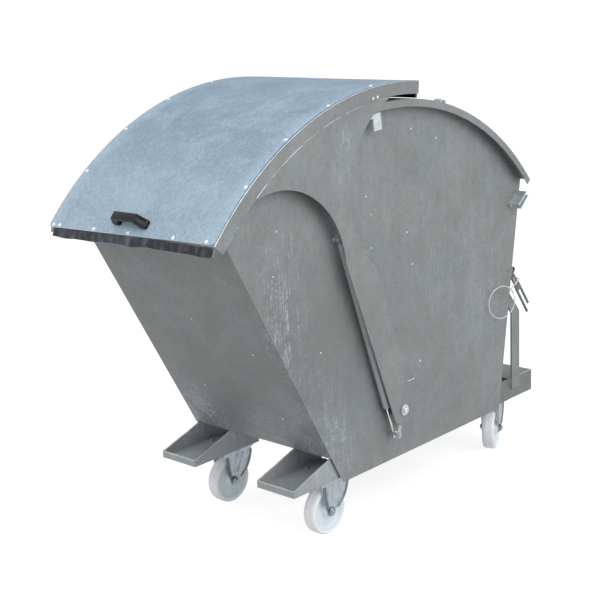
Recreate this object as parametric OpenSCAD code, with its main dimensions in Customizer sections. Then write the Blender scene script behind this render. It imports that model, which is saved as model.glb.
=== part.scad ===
// Galvanised waste container on castors, with a swivelling segment lid,
// gas struts, open fork consoles and a bow behind.
// Front faces -Y, +X is the right side seen from the front, +Z is up.
// Heights and depths in the pivot frame are measured from the lid's pivot axis.

/* [Container] */
// Width over the two side plates
body_w = 616; // [560:1:700]
// Thickness of the body sheets
sheet_t = 2; // [1.5:0.5:4]
// Height of the lid's pivot axis above the ground
pivot_h = 371; // [360:1:420]
// Drop from the pivot axis to the bottom edge of the side plates
skirt_drop = 178; // [170:1:190]
// Drop from the pivot axis to the underside of the floor
floor_drop = 85; // [80:1:95]
// Distance from the pivot axis forward to the front bottom corner of a side plate
foot_front = 256; // [230:1:270]
// Distance from the pivot axis back to the rear bottom corner of a side plate
foot_rear = 614; // [590:1:630]
// Lean of the front wall from the vertical, degrees
front_lean = 28.4; // [26:0.1:32]
// Lean of the rear wall from the vertical, degrees
rear_lean = 9.7; // [8:0.1:12]
// How far the rear wall sits inside the rear edge of the side plates
rear_inset = 8; // [4:1:12]

/* [Roof] */
// Outer radius of the fixed roof about the pivot axis
roof_r = 995; // [980:1:1000]
// Front edge of the roof, degrees in front of the vertical
roof_front = 10; // [6:0.5:14]
// Rear edge of the roof, degrees behind the vertical
roof_rear = 52; // [50:0.5:54]
// Overhang of the roof past each side plate
roof_overhang = 41; // [36:1:41]
// Depth of the turned-down lip along the sides of the roof
roof_lip = 24; // [15:1:28]
// Width of the flange that frames the loading opening
rim_w = 28; // [20:1:35]

/* [Lid] */
// Width over the lid's side frames
lid_w = 717; // [715:1:740]
// Outer radius of the lid's frame
lid_r = 1050; // [1046:1:1070]
// Front edge of the lid, degrees in front of the vertical
lid_front = 49.6; // [48:0.1:51]
// Rear edge of the lid, degrees behind the vertical
lid_rear = 5.9; // [4:0.1:8]
// Depth of the curved side frames
frame_h = 40; // [36:1:42]
// Thickness of the frame and of the arm plates
frame_t = 4; // [3:0.5:4]
// Thickness of the lid's cover sheet
cover_t = 1.5; // [1:0.5:2]
// Half width of an arm where it turns on its pivot
arm_r = 52; // [46:1:56]
// Radius of the arch cut in front of each arm
arch_r = 281; // [260:1:290]
// Angle between one side rivet and the next, degrees
rivet_pitch = 10.9; // [10:0.1:11]
// Length of the rubber lip below the lid's front edge
lip_len = 30; // [25:1:55]
// Thickness of the rubber lip
lip_t = 4; // [3:0.5:6]

/* [Handle] */
// Length of the lid handle
handle_len = 144; // [130:1:200]
// Height of the lid handle above the cover
handle_h = 40; // [36:1:50]
// Width of the lid handle's grip
handle_w = 26; // [20:1:32]
// Angle of the handle in front of the vertical, degrees
handle_at = 47.7; // [46:0.1:48.2]
// Offset of the handle from the middle of the lid, towards the left
handle_shift = 1; // [0:1:30]

/* [Gas struts] */
// Diameter of a strut's tube
tube_d = 22; // [18:1:26]
// Diameter of a strut's rod
rod_d = 8; // [6:1:10]
// Length of a strut's tube
tube_len = 619; // [520:1:630]
// Lower stud, forward of the pivot axis with the lid shut
stud_front = 25; // [20:1:30]
// Lower stud, below the pivot axis with the lid shut
stud_drop = 81; // [75:1:90]
// Upper stud, forward of the pivot axis
top_stud_front = 259; // [250:1:270]
// Upper stud, above the pivot axis
top_stud_rise = 606; // [590:1:610]
// Diameter of the strut studs
stud_d = 12; // [10:1:14]

/* [Fork consoles] */
// Distance from the middle to the centre of a console
console_x = 220; // [218:1:221]
// Outer width of a console
console_w = 157; // [150:1:160]
// Thickness of the console plates
console_t = 5; // [4:0.5:6]
// Height of the console undersides above the ground
console_h = 207; // [205:1:208]
// Reach of the front consoles in front of the pivot axis
console_reach = 475; // [450:1:490]
// Length of a front console
console_len = 300; // [280:1:310]
// Height of the lip across the front of a console
console_lip = 22; // [15:1:30]
// Slope of the ramp cut on the console walls, degrees
console_ramp = 17.6; // [17:0.1:28]
// Reach of the rear consoles behind the pivot axis
rear_console_reach = 785; // [760:1:790]
// Reach of the rear beam behind the pivot axis
beam_reach = 838; // [832:1:850]
// Depth of the rear beam from front to back
beam_d = 146; // [136:1:160]
// Height of the lip along the front of the rear beam
beam_lip = 24; // [18:1:30]

/* [Castors] */
// Wheel diameter
wheel_d = 160; // [140:1:170]
// Wheel width
wheel_w = 44; // [40:1:52]
// Diameter of the axle sleeve in the wheel's bore
sleeve_d = 20; // [16:1:24]
// Diameter of the axle bolt
axle_d = 12; // [10:1:14]
// Running clearance of a turning fit, on the radius
run_gap = 0.05; // [0.03:0.01:0.1]
// Offset of the wheel from the swivel axis of a front castor
trail = 24; // [20:1:45]
// Distance of the front swivel axes in front of the pivot axis
castor_front = 231; // [228:1:240]
// Distance of the rear swivel axes behind the pivot axis
castor_rear = 718; // [690:1:730]
// Distance from the middle to a rear swivel axis
rear_castor_x = 208; // [207:1:221]
// Turn of the rear castors at rest, degrees
rear_turn = 24; // [0:1:45]
// Length of a castor plate along the container
plate_len = 108; // [100:1:110]
// Width of a castor plate
plate_w = 130; // [120:1:140]
// Thickness of a castor plate
plate_t = 6; // [4:1:8]
// Height of the swivel's ball race
race_h = 12; // [10:1:14]
// Diameter of the swivel's ball race
race_d = 76; // [60:1:90]
// Diameter of the kingpin
kingpin_d = 16; // [12:1:20]
// Thickness of the fork steel
fork_t = 4; // [3:0.5:5]

/* [Bow] */
// Width of the flat bar of the bow
bow_bar = 50; // [40:1:54]
// Thickness of the flat bar
bow_t = 8; // [6:1:10]
// Distance from the pivot axis back to the middle of the upright bow
bow_back = 719; // [715:1:725]
// Height of the bow's shoulders relative to the lid's pivot axis
bow_shoulder = 165; // [80:1:170]
// How far each shoulder slopes in towards the middle
bow_slope = 100; // [60:1:120]
// How far each shoulder rises to the crossbar
bow_rise = 138; // [60:1:150]

/* [Latch] */
// Distance from the middle to the latch lever
latch_x = 290; // [270:1:292]
// Height of the latch pivot relative to the lid's pivot axis
latch_rise = 322; // [310:1:330]
// Length of the latch lever
latch_len = 218; // [200:1:225]
// Lean of the latch lever from the vertical, degrees
latch_lean = 36; // [30:1:38]
// Diameter of the pull loop of steel wire
loop_d = 126; // [100:1:130]
// Diameter of the loop's wire
loop_wire = 4; // [3:0.5:5]

/* [Hidden] */
$fn = 64;
arc_fn = 240;
cut = 1;                       // overshoot of a cutting shape
seat = 0.3;                    // gap between pieces that move past each other
zinc = "#8f9391";
bright = "#b9c2c8";
white = "#e8eef2";
black = "#2a2a2e";

half_w = body_w / 2;
inner_w = body_w - 2 * sheet_t;
side_r = roof_r - sheet_t;
lid_half = lid_w / 2;
band_in = lid_half - frame_t;  // inner face of a side frame's band
arm_in = band_in - frame_t;    // inner face of an arm plate
console_z = console_h - pivot_h;
ground_z = -pivot_h;
wheel_z = ground_z + wheel_d / 2;

// Corner points of the body in the side view, as [depth, height]
function on_circle(p, d, r) = let (b = p * d, c = p * p - r * r) p + (-b + sqrt(b * b - c)) * d;
front_dir = [-sin(front_lean), cos(front_lean)];
rear_dir = [sin(rear_lean), cos(rear_lean)];
front_foot = [-foot_front, -skirt_drop];
rear_foot = [foot_rear, -skirt_drop];
front_top = on_circle(front_foot, front_dir, side_r);
rear_top = on_circle(rear_foot, rear_dir, side_r);
front_at_floor = front_foot + front_dir * (skirt_drop - floor_drop) / front_dir[1];
rear_at_floor = rear_foot + rear_dir * (skirt_drop - floor_drop) / rear_dir[1];
rear_normal = [-cos(rear_lean), sin(rear_lean)];
front_normal = [-cos(front_lean), -sin(front_lean)];

// Lid front edge and handle, for the origin in the middle of the overall depth
handle_base_r = lid_r + cover_t;
handle_reach = (handle_base_r + handle_h) * sin(handle_at) + handle_w / 2 * cos(handle_at);
lip_lean = 15;
lip_top = [-(lid_r - 2) * sin(lid_front), (lid_r - 2) * cos(lid_front)];
lip_reach = -lip_top[0] + lip_len * sin(lip_lean) + lip_t * cos(lip_lean);
pivot_y = (max(handle_reach, lip_reach) - beam_reach) / 2;

// Places

module in_pivot_frame() translate([0, pivot_y, pivot_h]) children();
// What is modelled on the right side goes to the left for side -1
module on_side(side) mirror([side < 0 ? 1 : 0, 0, 0]) children();
module on_sides() for (side = [-1, 1]) on_side(side) children();

// A plate in the side view, from x0 outwards by t
module side_plate_at(x0, t) translate([x0, 0, 0]) rotate([90, 0, 90]) linear_extrude(t) children();

// Turns a profile of [radius, x] about the pivot axis, from one angle to the next.
// Angles count from the vertical and are positive towards the front.
module swept(from, to) rotate(180, [1, 0, 1]) rotate([0, 0, from])
    rotate_extrude(angle = to - from, $fn = arc_fn) children();

// Puts its children on a radius at an angle, with their own z pointing outwards
module on_radius(angle, r) rotate([angle, 0, 0]) translate([0, 0, r]) children();

// How far behind the pivot axis the rear edge of the side plates is at a height
function rear_edge_at(z) = foot_rear + (z + skirt_drop) * tan(rear_lean);

// A straight strip of sheet in the side view, from p to q, t thick on the side of normal n
module strip(p, q, n, t) polygon([p, q, q + n * t, p + n * t]);

// Body

module side_outline() intersection() {
    circle(r = side_r, $fn = arc_fn);
    polygon([front_foot, rear_foot, rear_foot + rear_dir * 2 * side_r, front_foot + front_dir * 2 * side_r]);
}

module side_plate(side) color(zinc) in_pivot_frame() on_side(side)
    side_plate_at(half_w - sheet_t, sheet_t) side_outline();
module left_side_plate() side_plate(-1);
module right_side_plate() side_plate(1);

// The front wall lies on the front edges of the side plates and clears the consoles below
module front_wall() color(zinc) in_pivot_frame() {
    start = front_at_floor + front_dir * (sheet_t * sin(front_lean) + seat) / cos(front_lean);
    side_plate_at(-half_w + wall_margin, body_w - 2 * wall_margin) strip(start, front_top, front_normal, sheet_t);
}
wall_margin = 0.5;

module floor_plate() color(zinc) in_pivot_frame()
    translate([-inner_w / 2, front_at_floor[0], -floor_drop])
        cube([inner_w, rear_at_floor[0] - rear_inset - front_at_floor[0], sheet_t]);

module rear_wall() color(zinc) in_pivot_frame() side_plate_at(-inner_w / 2, inner_w) intersection() {
    circle(r = side_r, $fn = arc_fn);
    strip(rear_at_floor + rear_normal * rear_inset + rear_dir * sheet_t,
        rear_top + rear_normal * rear_inset + rear_dir * 2 * rim_w, rear_normal, sheet_t);
}

module roof() color(zinc) in_pivot_frame() swept(-roof_rear, roof_front) roof_profile();
module roof_profile() {
    roof_half = half_w + roof_overhang;
    translate([side_r, -roof_half]) square([sheet_t, 2 * roof_half]);
    for (x = [-roof_half, roof_half - sheet_t])
        translate([roof_r - roof_lip, x]) square([roof_lip, sheet_t]);
}

// The flange round the loading opening: a curved frame with a leg in front and behind
module opening_rim() color(zinc) in_pivot_frame() {
    front_edge = asin(-front_top[0] / side_r) - 0.6;
    rear_edge = roof_front - 3;
    flange_deg = asin(rim_w / side_r);
    difference() {
        swept(rear_edge, front_edge)
            translate([side_r - sheet_t, -inner_w / 2]) square([sheet_t, inner_w]);
        swept(rear_edge + flange_deg, front_edge - flange_deg)
            translate([side_r - 2 * sheet_t, rim_w - inner_w / 2]) square([3 * sheet_t, inner_w - 2 * rim_w]);
    }
    for (edge = [rear_edge + 0.1, front_edge - 0.3])
        swept(edge, edge + 0.2)
            translate([side_r - rim_w, 4 - inner_w / 2]) square([rim_w - sheet_t / 2, inner_w - 8]);
}

// A boss on each side plate with the bolt that the arm turns on
pivot_bolt_d = 22;
boss_d = 46;
module lid_pivots() color(bright) in_pivot_frame() on_sides() rotate([0, 90, 0]) {
    translate([0, 0, half_w]) cylinder(d = boss_d, h = arm_in - seat - half_w);
    translate([0, 0, half_w]) cylinder(d = pivot_bolt_d, h = lid_half + 6 - half_w);
    translate([0, 0, band_in + seat]) cylinder(d = 34, h = 3);
}

// Upper studs of the gas struts, standing out of the side plates
strut_x = (half_w + arm_in) / 2;
eye_w = 12;
head_t = 3;                    // thickness of a stud's head
head_out = eye_w / 2 + 1;      // from the middle of an eye to a stud's head
module stud(from, to, head_from) rotate([0, 90, 0]) {
    translate([0, 0, from]) cylinder(d = stud_d, h = to - from);
    translate([0, 0, head_from]) cylinder(d = stud_d + 8, h = head_t);
}
module upper_strut_studs() color(bright) in_pivot_frame() on_sides() translate([0, high_stud[0], high_stud[1]]) {
    stud(half_w, strut_x + head_out + head_t, strut_x + head_out);
    rotate([0, 90, 0]) translate([0, 0, half_w]) cylinder(d = stud_d + 10, h = 5);
}

// Folded brackets near the rear edges of the side plates, which stop the opened lid
stop_at = 50.3;
stop_r = side_r - 110;
stop_len = 62;
stop_w = 24;
stop_t = 5;
module lid_stops() color(bright) in_pivot_frame() on_sides() on_radius(-stop_at, stop_r) translate([half_w, -stop_w / 4, 0]) {
    cube([stop_t, stop_w, stop_len]);
    for (y = [0, stop_w - stop_t]) translate([0, y, 0]) cube([band_in - half_w, stop_t, stop_len]);
}

// A small saddle on the roof behind the lid
saddle = 28;
module roof_bracket() color(zinc) in_pivot_frame()
    on_radius(-14.5, roof_r) translate([seal_half + 6, -saddle / 2, 0]) difference() {
        cube([saddle, saddle, saddle / 3]);
        translate([-cut, saddle / 3, -cut]) cube([saddle + 2 * cut, saddle / 3, saddle / 4 + cut]);
    }

// Consoles and rear beam

// An open channel with a ramp cut on its walls; end is -1 in front and 1 behind
module console(side, end, reach) color(zinc) in_pivot_frame() on_side(side) mirror([0, end > 0 ? 1 : 0, 0])
    translate([console_x - console_w / 2, -reach, console_z]) {
        wall_h = -floor_drop - console_z;
        ramp_len = (wall_h - console_lip) / tan(console_ramp);
        for (x = [0, console_w - console_t])
            side_plate_at(x, console_t) polygon([[0, 0], [console_len, 0], [console_len, wall_h],
                [ramp_len, wall_h], [0, console_lip]]);
        cube([console_w, console_len, console_t]);
        cube([console_w, console_t, console_lip]);
    }
module left_front_console() console(-1, -1, console_reach);
module right_front_console() console(1, -1, console_reach);
module left_rear_console() console(-1, 1, rear_console_reach);
module right_rear_console() console(1, 1, rear_console_reach);

// A folded beam across the rear consoles: top plate, front lip, rear face and end plates
beam_half = console_x + console_w / 2 + console_t;
module rear_beam() color(zinc) in_pivot_frame() {
    beam_h = -floor_drop - console_z;
    translate([-beam_half, beam_reach - beam_d, -floor_drop - console_t]) cube([2 * beam_half, beam_d, console_t]);
    translate([-beam_half, beam_reach - beam_d, -floor_drop - beam_lip]) cube([2 * beam_half, console_t, beam_lip]);
    translate([-beam_half, beam_reach - console_t, console_z]) cube([2 * beam_half, console_t, beam_h]);
    for (x = [-beam_half, beam_half - console_t])
        translate([x, beam_reach - beam_d, console_z]) cube([console_t, beam_d, beam_h]);
}

// Castors

fork_in = wheel_w / 2 + 5;
fork_out = fork_in + fork_t;
boss_r = 18;
hub_gap = 0.4;
crown_z = console_z - plate_t - race_h - seat;
axle_nut_d = 28;

castor_x = [console_x, rear_castor_x];
castor_y = [-castor_front, castor_rear];
castor_turn = [0, rear_turn];
// Places something on a swivel axis; end is 0 in front and 1 behind
module castor_frame(side, end, turn = 0) in_pivot_frame() on_side(side)
    translate([castor_x[end], castor_y[end], 0]) rotate([0, 0, turn]) children();

module castor_plate(side, end) color(bright) castor_frame(side, end) translate([0, 0, console_z - plate_t]) {
    translate([-plate_w / 2, -plate_len / 2, 0]) cube([plate_w, plate_len, plate_t]);
    translate([0, 0, -race_h]) cylinder(d = race_d, h = race_h);
    translate([0, 0, -race_h - fork_t - 2 * seat]) cylinder(d = kingpin_d, h = race_h);
    translate([0, 0, -race_h - fork_t - 2 * seat - 8]) cylinder(d = kingpin_d + 10, h = 8, $fn = 6);
}
module left_front_castor_plate() castor_plate(-1, 0);
module right_front_castor_plate() castor_plate(1, 0);
module left_rear_castor_plate() castor_plate(-1, 1);
module right_rear_castor_plate() castor_plate(1, 1);

// One leg in the side view: a taper from the crown down to the axle boss
crown_half = 62;
crown_side = 22;               // depth of the straight part below the crown
module fork_leg() difference() {
    union() {
        polygon([[-crown_half, crown_z], [crown_half, crown_z], [crown_half, crown_z - crown_side],
            [boss_r - trail, wheel_z + 6], [-boss_r - trail, wheel_z + 6], [-crown_half, crown_z - crown_side]]);
        translate([-trail, wheel_z]) circle(r = boss_r);
    }
    translate([-trail, wheel_z]) circle(d = axle_d + 2 * run_gap);
}

module fork(side, end) color(bright) castor_frame(side, end, castor_turn[end]) difference() {
    union() {
        for (x = [-fork_out, fork_in]) side_plate_at(x, fork_t) fork_leg();
        translate([-fork_out, -crown_half, crown_z - fork_t]) cube([2 * fork_out, 2 * crown_half, fork_t]);
        for (flare = [-1, 1]) on_side(flare)
            translate([fork_out, -crown_half, crown_z - crown_side]) cube([7, fork_t, crown_side]);
    }
    translate([0, 0, crown_z - fork_t - cut]) cylinder(d = kingpin_d + 2 * run_gap, h = fork_t + 2 * cut);
}
module left_front_fork() fork(-1, 0);
module right_front_fork() fork(1, 0);
module left_rear_fork() fork(-1, 1);
module right_rear_fork() fork(1, 1);

module axle(side, end) color(bright) castor_frame(side, end, castor_turn[end])
    translate([0, -trail, wheel_z]) rotate([0, 90, 0]) {
        translate([0, 0, -fork_in]) cylinder(d = sleeve_d, h = 2 * fork_in);
        translate([0, 0, -fork_out - 9]) cylinder(d = axle_d, h = 2 * fork_out + 18);
        for (nut = [-fork_out - 8, fork_out]) translate([0, 0, nut]) cylinder(d = axle_nut_d, h = 8, $fn = 6);
    }
module left_front_axle() axle(-1, 0);
module right_front_axle() axle(1, 0);
module left_rear_axle() axle(-1, 1);
module right_rear_axle() axle(1, 1);

// A solid nylon wheel: rounded tread with a parting groove, and a recess beside the hub
module wheel(side, end) color(white) castor_frame(side, end, castor_turn[end])
    translate([0, -trail, wheel_z]) rotate([0, 90, 0]) rotate_extrude($fn = 96) {
        r = wheel_d / 2;
        half = wheel_w / 2;
        hub = fork_in - hub_gap;
        bore = sleeve_d / 2 + run_gap;
        polygon([[bore, -hub], [bore + 14, -hub], [bore + 16, -half + 9], [r - 20, -half + 9], [r - 17, -half],
            [r - 6, -half], [r - 1.5, -half + 4], [r, -half + 9], [r, -1.5], [r - 1.5, 0], [r, 1.5],
            [r, half - 9], [r - 1.5, half - 4], [r - 6, half], [r - 17, half], [r - 20, half - 9],
            [bore + 16, half - 9], [bore + 14, hub], [bore, hub]]);
    }
module left_front_wheel() wheel(-1, 0);
module right_front_wheel() wheel(1, 0);
module left_rear_wheel() wheel(-1, 1);
module right_rear_wheel() wheel(1, 1);

// Nuts under the castor plates and bolt heads inside the consoles
module castor_bolts() color(bright)
    for (side = [-1, 1], end = [0, 1], dx = [-1, 1], dy = [-1, 1]) castor_frame(side, end)
        translate([dx * (plate_w / 2 - 13), dy * (plate_len / 2 - 12), console_z]) {
            translate([0, 0, -plate_t - 8]) cylinder(d = 17, h = 8, $fn = 6);
            translate([0, 0, console_t]) cylinder(d = 17, h = 6, $fn = 6);
        }

// Lid

module lid_cover() color("#94a9b8") in_pivot_frame() swept(-lid_rear, lid_front)
    translate([lid_r, -lid_half + 3]) square([cover_t, lid_w - 6]);

// A curved angle: the upright band outside and a flange under the cover
module lid_frame(side) color(zinc) in_pivot_frame() on_side(side) swept(-lid_rear, lid_front) {
    translate([lid_r - frame_h, band_in]) square([frame_h, frame_t]);
    translate([lid_r - frame_t, lid_half - frame_h]) square([frame_t, frame_h]);
}
module left_lid_frame() lid_frame(-1);
module right_lid_frame() lid_frame(1);

// Cross rails between the side frames: a flange under the cover, and a leg at each end of the lid
rail_half = lid_half - frame_h;
leg_half = band_in;
leg_h = 26;
function step_of(t, r) = asin(t / r);
module rail_flange(from, to) swept(from, to)
    translate([lid_r - frame_t, -rail_half]) square([frame_t, 2 * rail_half]);
module front_rail() color(zinc) {
    in_pivot_frame() rail_flange(lid_front - 1.2, lid_front);
    lip_frame() translate([-rail_half, 0, -leg_h]) cube([2 * rail_half, frame_t, leg_h + 2]);
    lip_frame() translate([-leg_half, 0, -leg_h]) cube([2 * leg_half, frame_t, leg_h - frame_t]);
}
module rear_rail() color(zinc) in_pivot_frame() {
    rail_flange(-lid_rear, 2 - lid_rear);
    swept(-lid_rear, step_of(frame_t, lid_r) - lid_rear)
        translate([lid_r - frame_h + 4, -leg_half]) square([frame_h - 4 - frame_t, 2 * leg_half]);
}

// An arm in the side view: a blade that widens to the band, with an arch cut in front
arch_at = [-541.5, 512];
arch_start = [-640, 740];
blade_rear = [-221, 790];
blade_front = [-265.6, 549.3];
rear_scoop = [[64, lid_r - 324], 294];
function foot_towards(p, side) = tangent_foot(p, arm_r - 1.5, side);
function tangent_foot(p, r, side) = let (d = norm(p), a = atan2(p[1], p[0]) - side * acos(r / d))
    r * [cos(a), sin(a)];
module arm_outline() {
    band_r = lid_r - frame_t;
    difference() {
        union() {
            circle(r = arm_r);
            polygon([foot_towards(blade_rear, 1), blade_rear, [-60, lid_r - 110],
                band_r * [-sin(1), cos(1)], band_r * [-sin(15), cos(15)], band_r * [-sin(27), cos(27)],
                band_r * [-sin(41), cos(41)], arch_start,
                blade_front, foot_towards(blade_front, -1)]);
        }
        translate(arch_at) circle(r = arch_r, $fn = arc_fn);
        translate(rear_scoop[0]) circle(r = rear_scoop[1], $fn = arc_fn);
        circle(d = pivot_bolt_d + 2 * run_gap);
    }
}
module arm(side) color(zinc) in_pivot_frame() on_side(side) side_plate_at(arm_in, frame_t) arm_outline();
module left_arm() arm(-1);
module right_arm() arm(1);

rivet_edge = lid_front - 0.45;
side_rivets = [for (i = [0:4]) rivet_edge - i * rivet_pitch];
front_rivets = [-310, -154, -1, 190];
rivet_x = lid_half - 33;
module rivet(angle, x) on_radius(angle, lid_r + cover_t) translate([x, 0, 0]) {
    cylinder(d = 13, h = 1.2);
    cylinder(d = 8, h = 2.6);
}
module cover_rivets() color(white) in_pivot_frame() {
    for (angle = side_rivets) on_sides() rivet(angle, rivet_x);
    for (x = front_rivets) rivet(rivet_edge, x);
}

// A bridge handle, drawn across the lid and extruded along the slope
module lid_handle() color(black) in_pivot_frame() on_radius(handle_at, handle_base_r)
    translate([-handle_shift, handle_w / 2, 0]) rotate([90, 0, 0]) linear_extrude(handle_w) {
        half = handle_len / 2;
        difference() {
            polygon([[-half, 0], [half, 0], [half, 9], [half - 22, handle_h], [22 - half, handle_h], [-half, 9]]);
            polygon([[30 - half, -cut], [half - 30, -cut], [half - 30, 12], [half - 42, handle_h - 13],
                [42 - half, handle_h - 13], [30 - half, 12]]);
        }
    }
module handle_screws() color(bright) in_pivot_frame() on_radius(handle_at, lid_r)
    for (x = [-1, 1]) translate([x * (handle_len / 2 - 16) - handle_shift, 0, -8]) cylinder(d = 12, h = 8, $fn = 6);

// The rubber lip hangs in front of the front rail
lip_half = lid_half - 8;
module lip_frame() in_pivot_frame() translate([0, lip_top[0], lip_top[1]]) rotate([-lip_lean, 0, 0]) children();
module rubber_lip() color(black) lip_frame()
    translate([-lip_half, -lip_t, -lip_len]) cube([2 * lip_half, lip_t, lip_len]);

seal_half = half_w + 4;
module rear_seal() color(black) in_pivot_frame()
    swept(-lid_rear - step_of(lip_t, lid_r), -lid_rear - step_of(seat, lid_r))
        translate([roof_r + 2, -seal_half]) square([lid_r - roof_r - frame_t - 4, 2 * seal_half]);

// Tabs inside the arms that meet the stops when the lid is fully open
tab_at = 4.9;
tab_low = 914;
tab_len = 38;
tab_t = 3;
tab_h = roof_r - roof_lip - tab_low - 4;
tab_x = arm_in - 12;
tab_ear = 22;                  // reach of a tab's ear behind the arm that carries it
module stop_tabs() color(white) in_pivot_frame() on_sides() on_radius(tab_at, tab_low) translate([tab_x, -tab_len / 2, 0]) {
    cube([tab_t, tab_len, tab_h]);
    translate([0, -tab_ear, tab_h - 12]) cube([arm_in - tab_x, tab_ear + tab_t, 12]);
}
module tab_rivets() color(bright) in_pivot_frame() on_sides() for (angle = [5.6, 6.8])
    on_radius(angle, lid_r - 32) translate([lid_half, 0, 0]) rotate([0, 90, 0]) cylinder(d = 9, h = 3);

// Gas struts

low_stud = [-stud_front, -stud_drop];
high_stud = [-top_stud_front, top_stud_rise];
strut_len = norm(high_stud - low_stud);
strut_lean = atan2(-(high_stud[0] - low_stud[0]), high_stud[1] - low_stud[1]);
lug_t = 4;
// Lower studs of the gas struts, each on a lug welded to the inner face of an arm
module strut_studs() color(bright) in_pivot_frame() on_sides() {
    away = low_stud / norm(low_stud);
    across = [-away[1], away[0]] * 9;
    neck_end = away * (boss_d / 2 + 9);
    translate([0, low_stud[0], low_stud[1]]) {
        stud(strut_x - head_out - head_t, arm_in - lug_t, strut_x - head_out - head_t);
        rotate([0, 90, 0]) translate([0, 0, arm_in]) cylinder(d = stud_d + 8, h = 6, $fn = 6);
    }
    side_plate_at(arm_in - lug_t, lug_t) {
        translate(low_stud) circle(r = 12);
        polygon([low_stud + across, neck_end + across, neck_end - across, low_stud - across]);
    }
}
module along_strut(x) in_pivot_frame() translate([x, low_stud[0], low_stud[1]]) rotate([strut_lean, 0, 0]) children();
module eye() difference() {
    rotate([0, 90, 0]) cylinder(d = stud_d + 10, h = eye_w, center = true);
    rotate([0, 90, 0]) cylinder(d = stud_d + 2 * run_gap, h = eye_w + 2 * cut, center = true);
}
module strut_rod(side) color(bright) on_side(side) along_strut(strut_x) {
    eye();
    translate([0, 0, stud_d / 2 + 3]) cylinder(d = rod_d, h = strut_len - tube_len + 120);
}
module left_strut_rod() strut_rod(-1);
module right_strut_rod() strut_rod(1);
module strut_tube(side) color("#3b3d40") on_side(side) along_strut(strut_x) {
    translate([0, 0, strut_len]) eye();
    translate([0, 0, strut_len - neck_len - cut]) cylinder(d = eye_w, h = neck_len + cut - stud_d / 2 - 3);
    translate([0, 0, strut_len - tube_len]) difference() {
        cylinder(d = tube_d, h = tube_len - neck_len);
        translate([0, 0, -cut]) cylinder(d = rod_d + 2 * rod_room, h = tube_len - 60);
    }
}
neck_len = 14;                 // from a tube's end to the middle of its eye
rod_room = 5.3;                // clearance of a rod in its tube, on the radius
module left_strut_tube() strut_tube(-1);
module right_strut_tube() strut_tube(1);

// Tow bow and latch

bow_half = beam_half + bow_t;
bow_foot = 39;                 // length of the bar below the top of the beam

// A flat bar bent four times: two uprights welded to the ends of the beam, two slopes and a crossbar
module bow_outline() {
    lean = atan2(bow_slope, bow_rise);
    low_mitre = bow_t * tan(lean / 2);
    high_mitre = bow_t * tan((90 - lean) / 2);
    slope_end = bow_half - bow_slope;
    top = bow_shoulder + bow_rise;
    foot = -floor_drop - bow_foot;
    difference() {
        polygon([[bow_half, foot], [bow_half, bow_shoulder], [slope_end, top],
            [-slope_end, top], [-bow_half, bow_shoulder], [-bow_half, foot]]);
        polygon([[bow_half - bow_t, foot - cut], [bow_half - bow_t, bow_shoulder - low_mitre],
            [slope_end - high_mitre, top - bow_t], [high_mitre - slope_end, top - bow_t],
            [bow_t - bow_half, bow_shoulder - low_mitre], [bow_t - bow_half, foot - cut]]);
    }
}
module tow_bow() color(zinc) in_pivot_frame()
    translate([0, bow_back + bow_bar / 2, 0]) rotate([90, 0, 0]) linear_extrude(bow_bar) bow_outline();

latch_y = rear_edge_at(latch_rise) + 10;
lever_t = 6;
lever_r = 12;
cheek_t = 4;
cheek_r = 13;
latch_pin_d = 10;
module latch_frame() in_pivot_frame() translate([latch_x, latch_y, latch_rise]) children();

// Two cheeks on the rear wall carry the pin of the lever
module latch_bracket() color(bright) latch_frame() {
    wall_y = rear_edge_at(latch_rise) - rear_inset / cos(rear_lean) - latch_y;
    foot = 20;
    for (x = [-lever_t / 2 - seat - cheek_t, lever_t / 2 + seat]) side_plate_at(x, cheek_t) difference() {
        union() {
            circle(r = cheek_r);
            polygon([[0, -cheek_r], [0, cheek_r], [wall_y + foot * tan(rear_lean), foot], [wall_y - foot * tan(rear_lean), -foot]]);
        }
        circle(d = latch_pin_d);
    }
}
pin_half = lever_t / 2 + seat + cheek_t + 1;
module latch_pin() color(bright) latch_frame() rotate([0, 90, 0]) {
    translate([0, 0, -pin_half]) cylinder(d = latch_pin_d, h = 2 * pin_half);
    for (z = [-pin_half - 2, pin_half]) translate([0, 0, z]) cylinder(d = latch_pin_d + 6, h = 3);
}
lever_turn = latch_pin_d / 2 + run_gap;

// A lever that ends in two prongs of different length
module latch_lever() color(bright) latch_frame() rotate([latch_lean, 0, 0]) side_plate_at(-lever_t / 2, lever_t) difference() {
    union() {
        circle(r = lever_r);
        translate([-lever_r, -latch_len / 2]) square([2 * lever_r, latch_len / 2]);
        translate([-lever_r - 4, -latch_len]) square([9, latch_len - 80]);
        translate([lever_r - 5, 22 - latch_len]) square([9, latch_len - 100]);
    }
    circle(r = lever_turn);
    translate([-3, -90]) square([6, 50]);
}
module latch_spring() color(bright) latch_frame() rotate([0, 90, 0]) translate([0, 0, pin_half + 1]) difference() {
    cylinder(d = latch_pin_d + 14, h = 1.4);
    translate([0, 0, -cut]) cylinder(d = latch_pin_d + 6, h = 2 * cut + 1.4);
}

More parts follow.
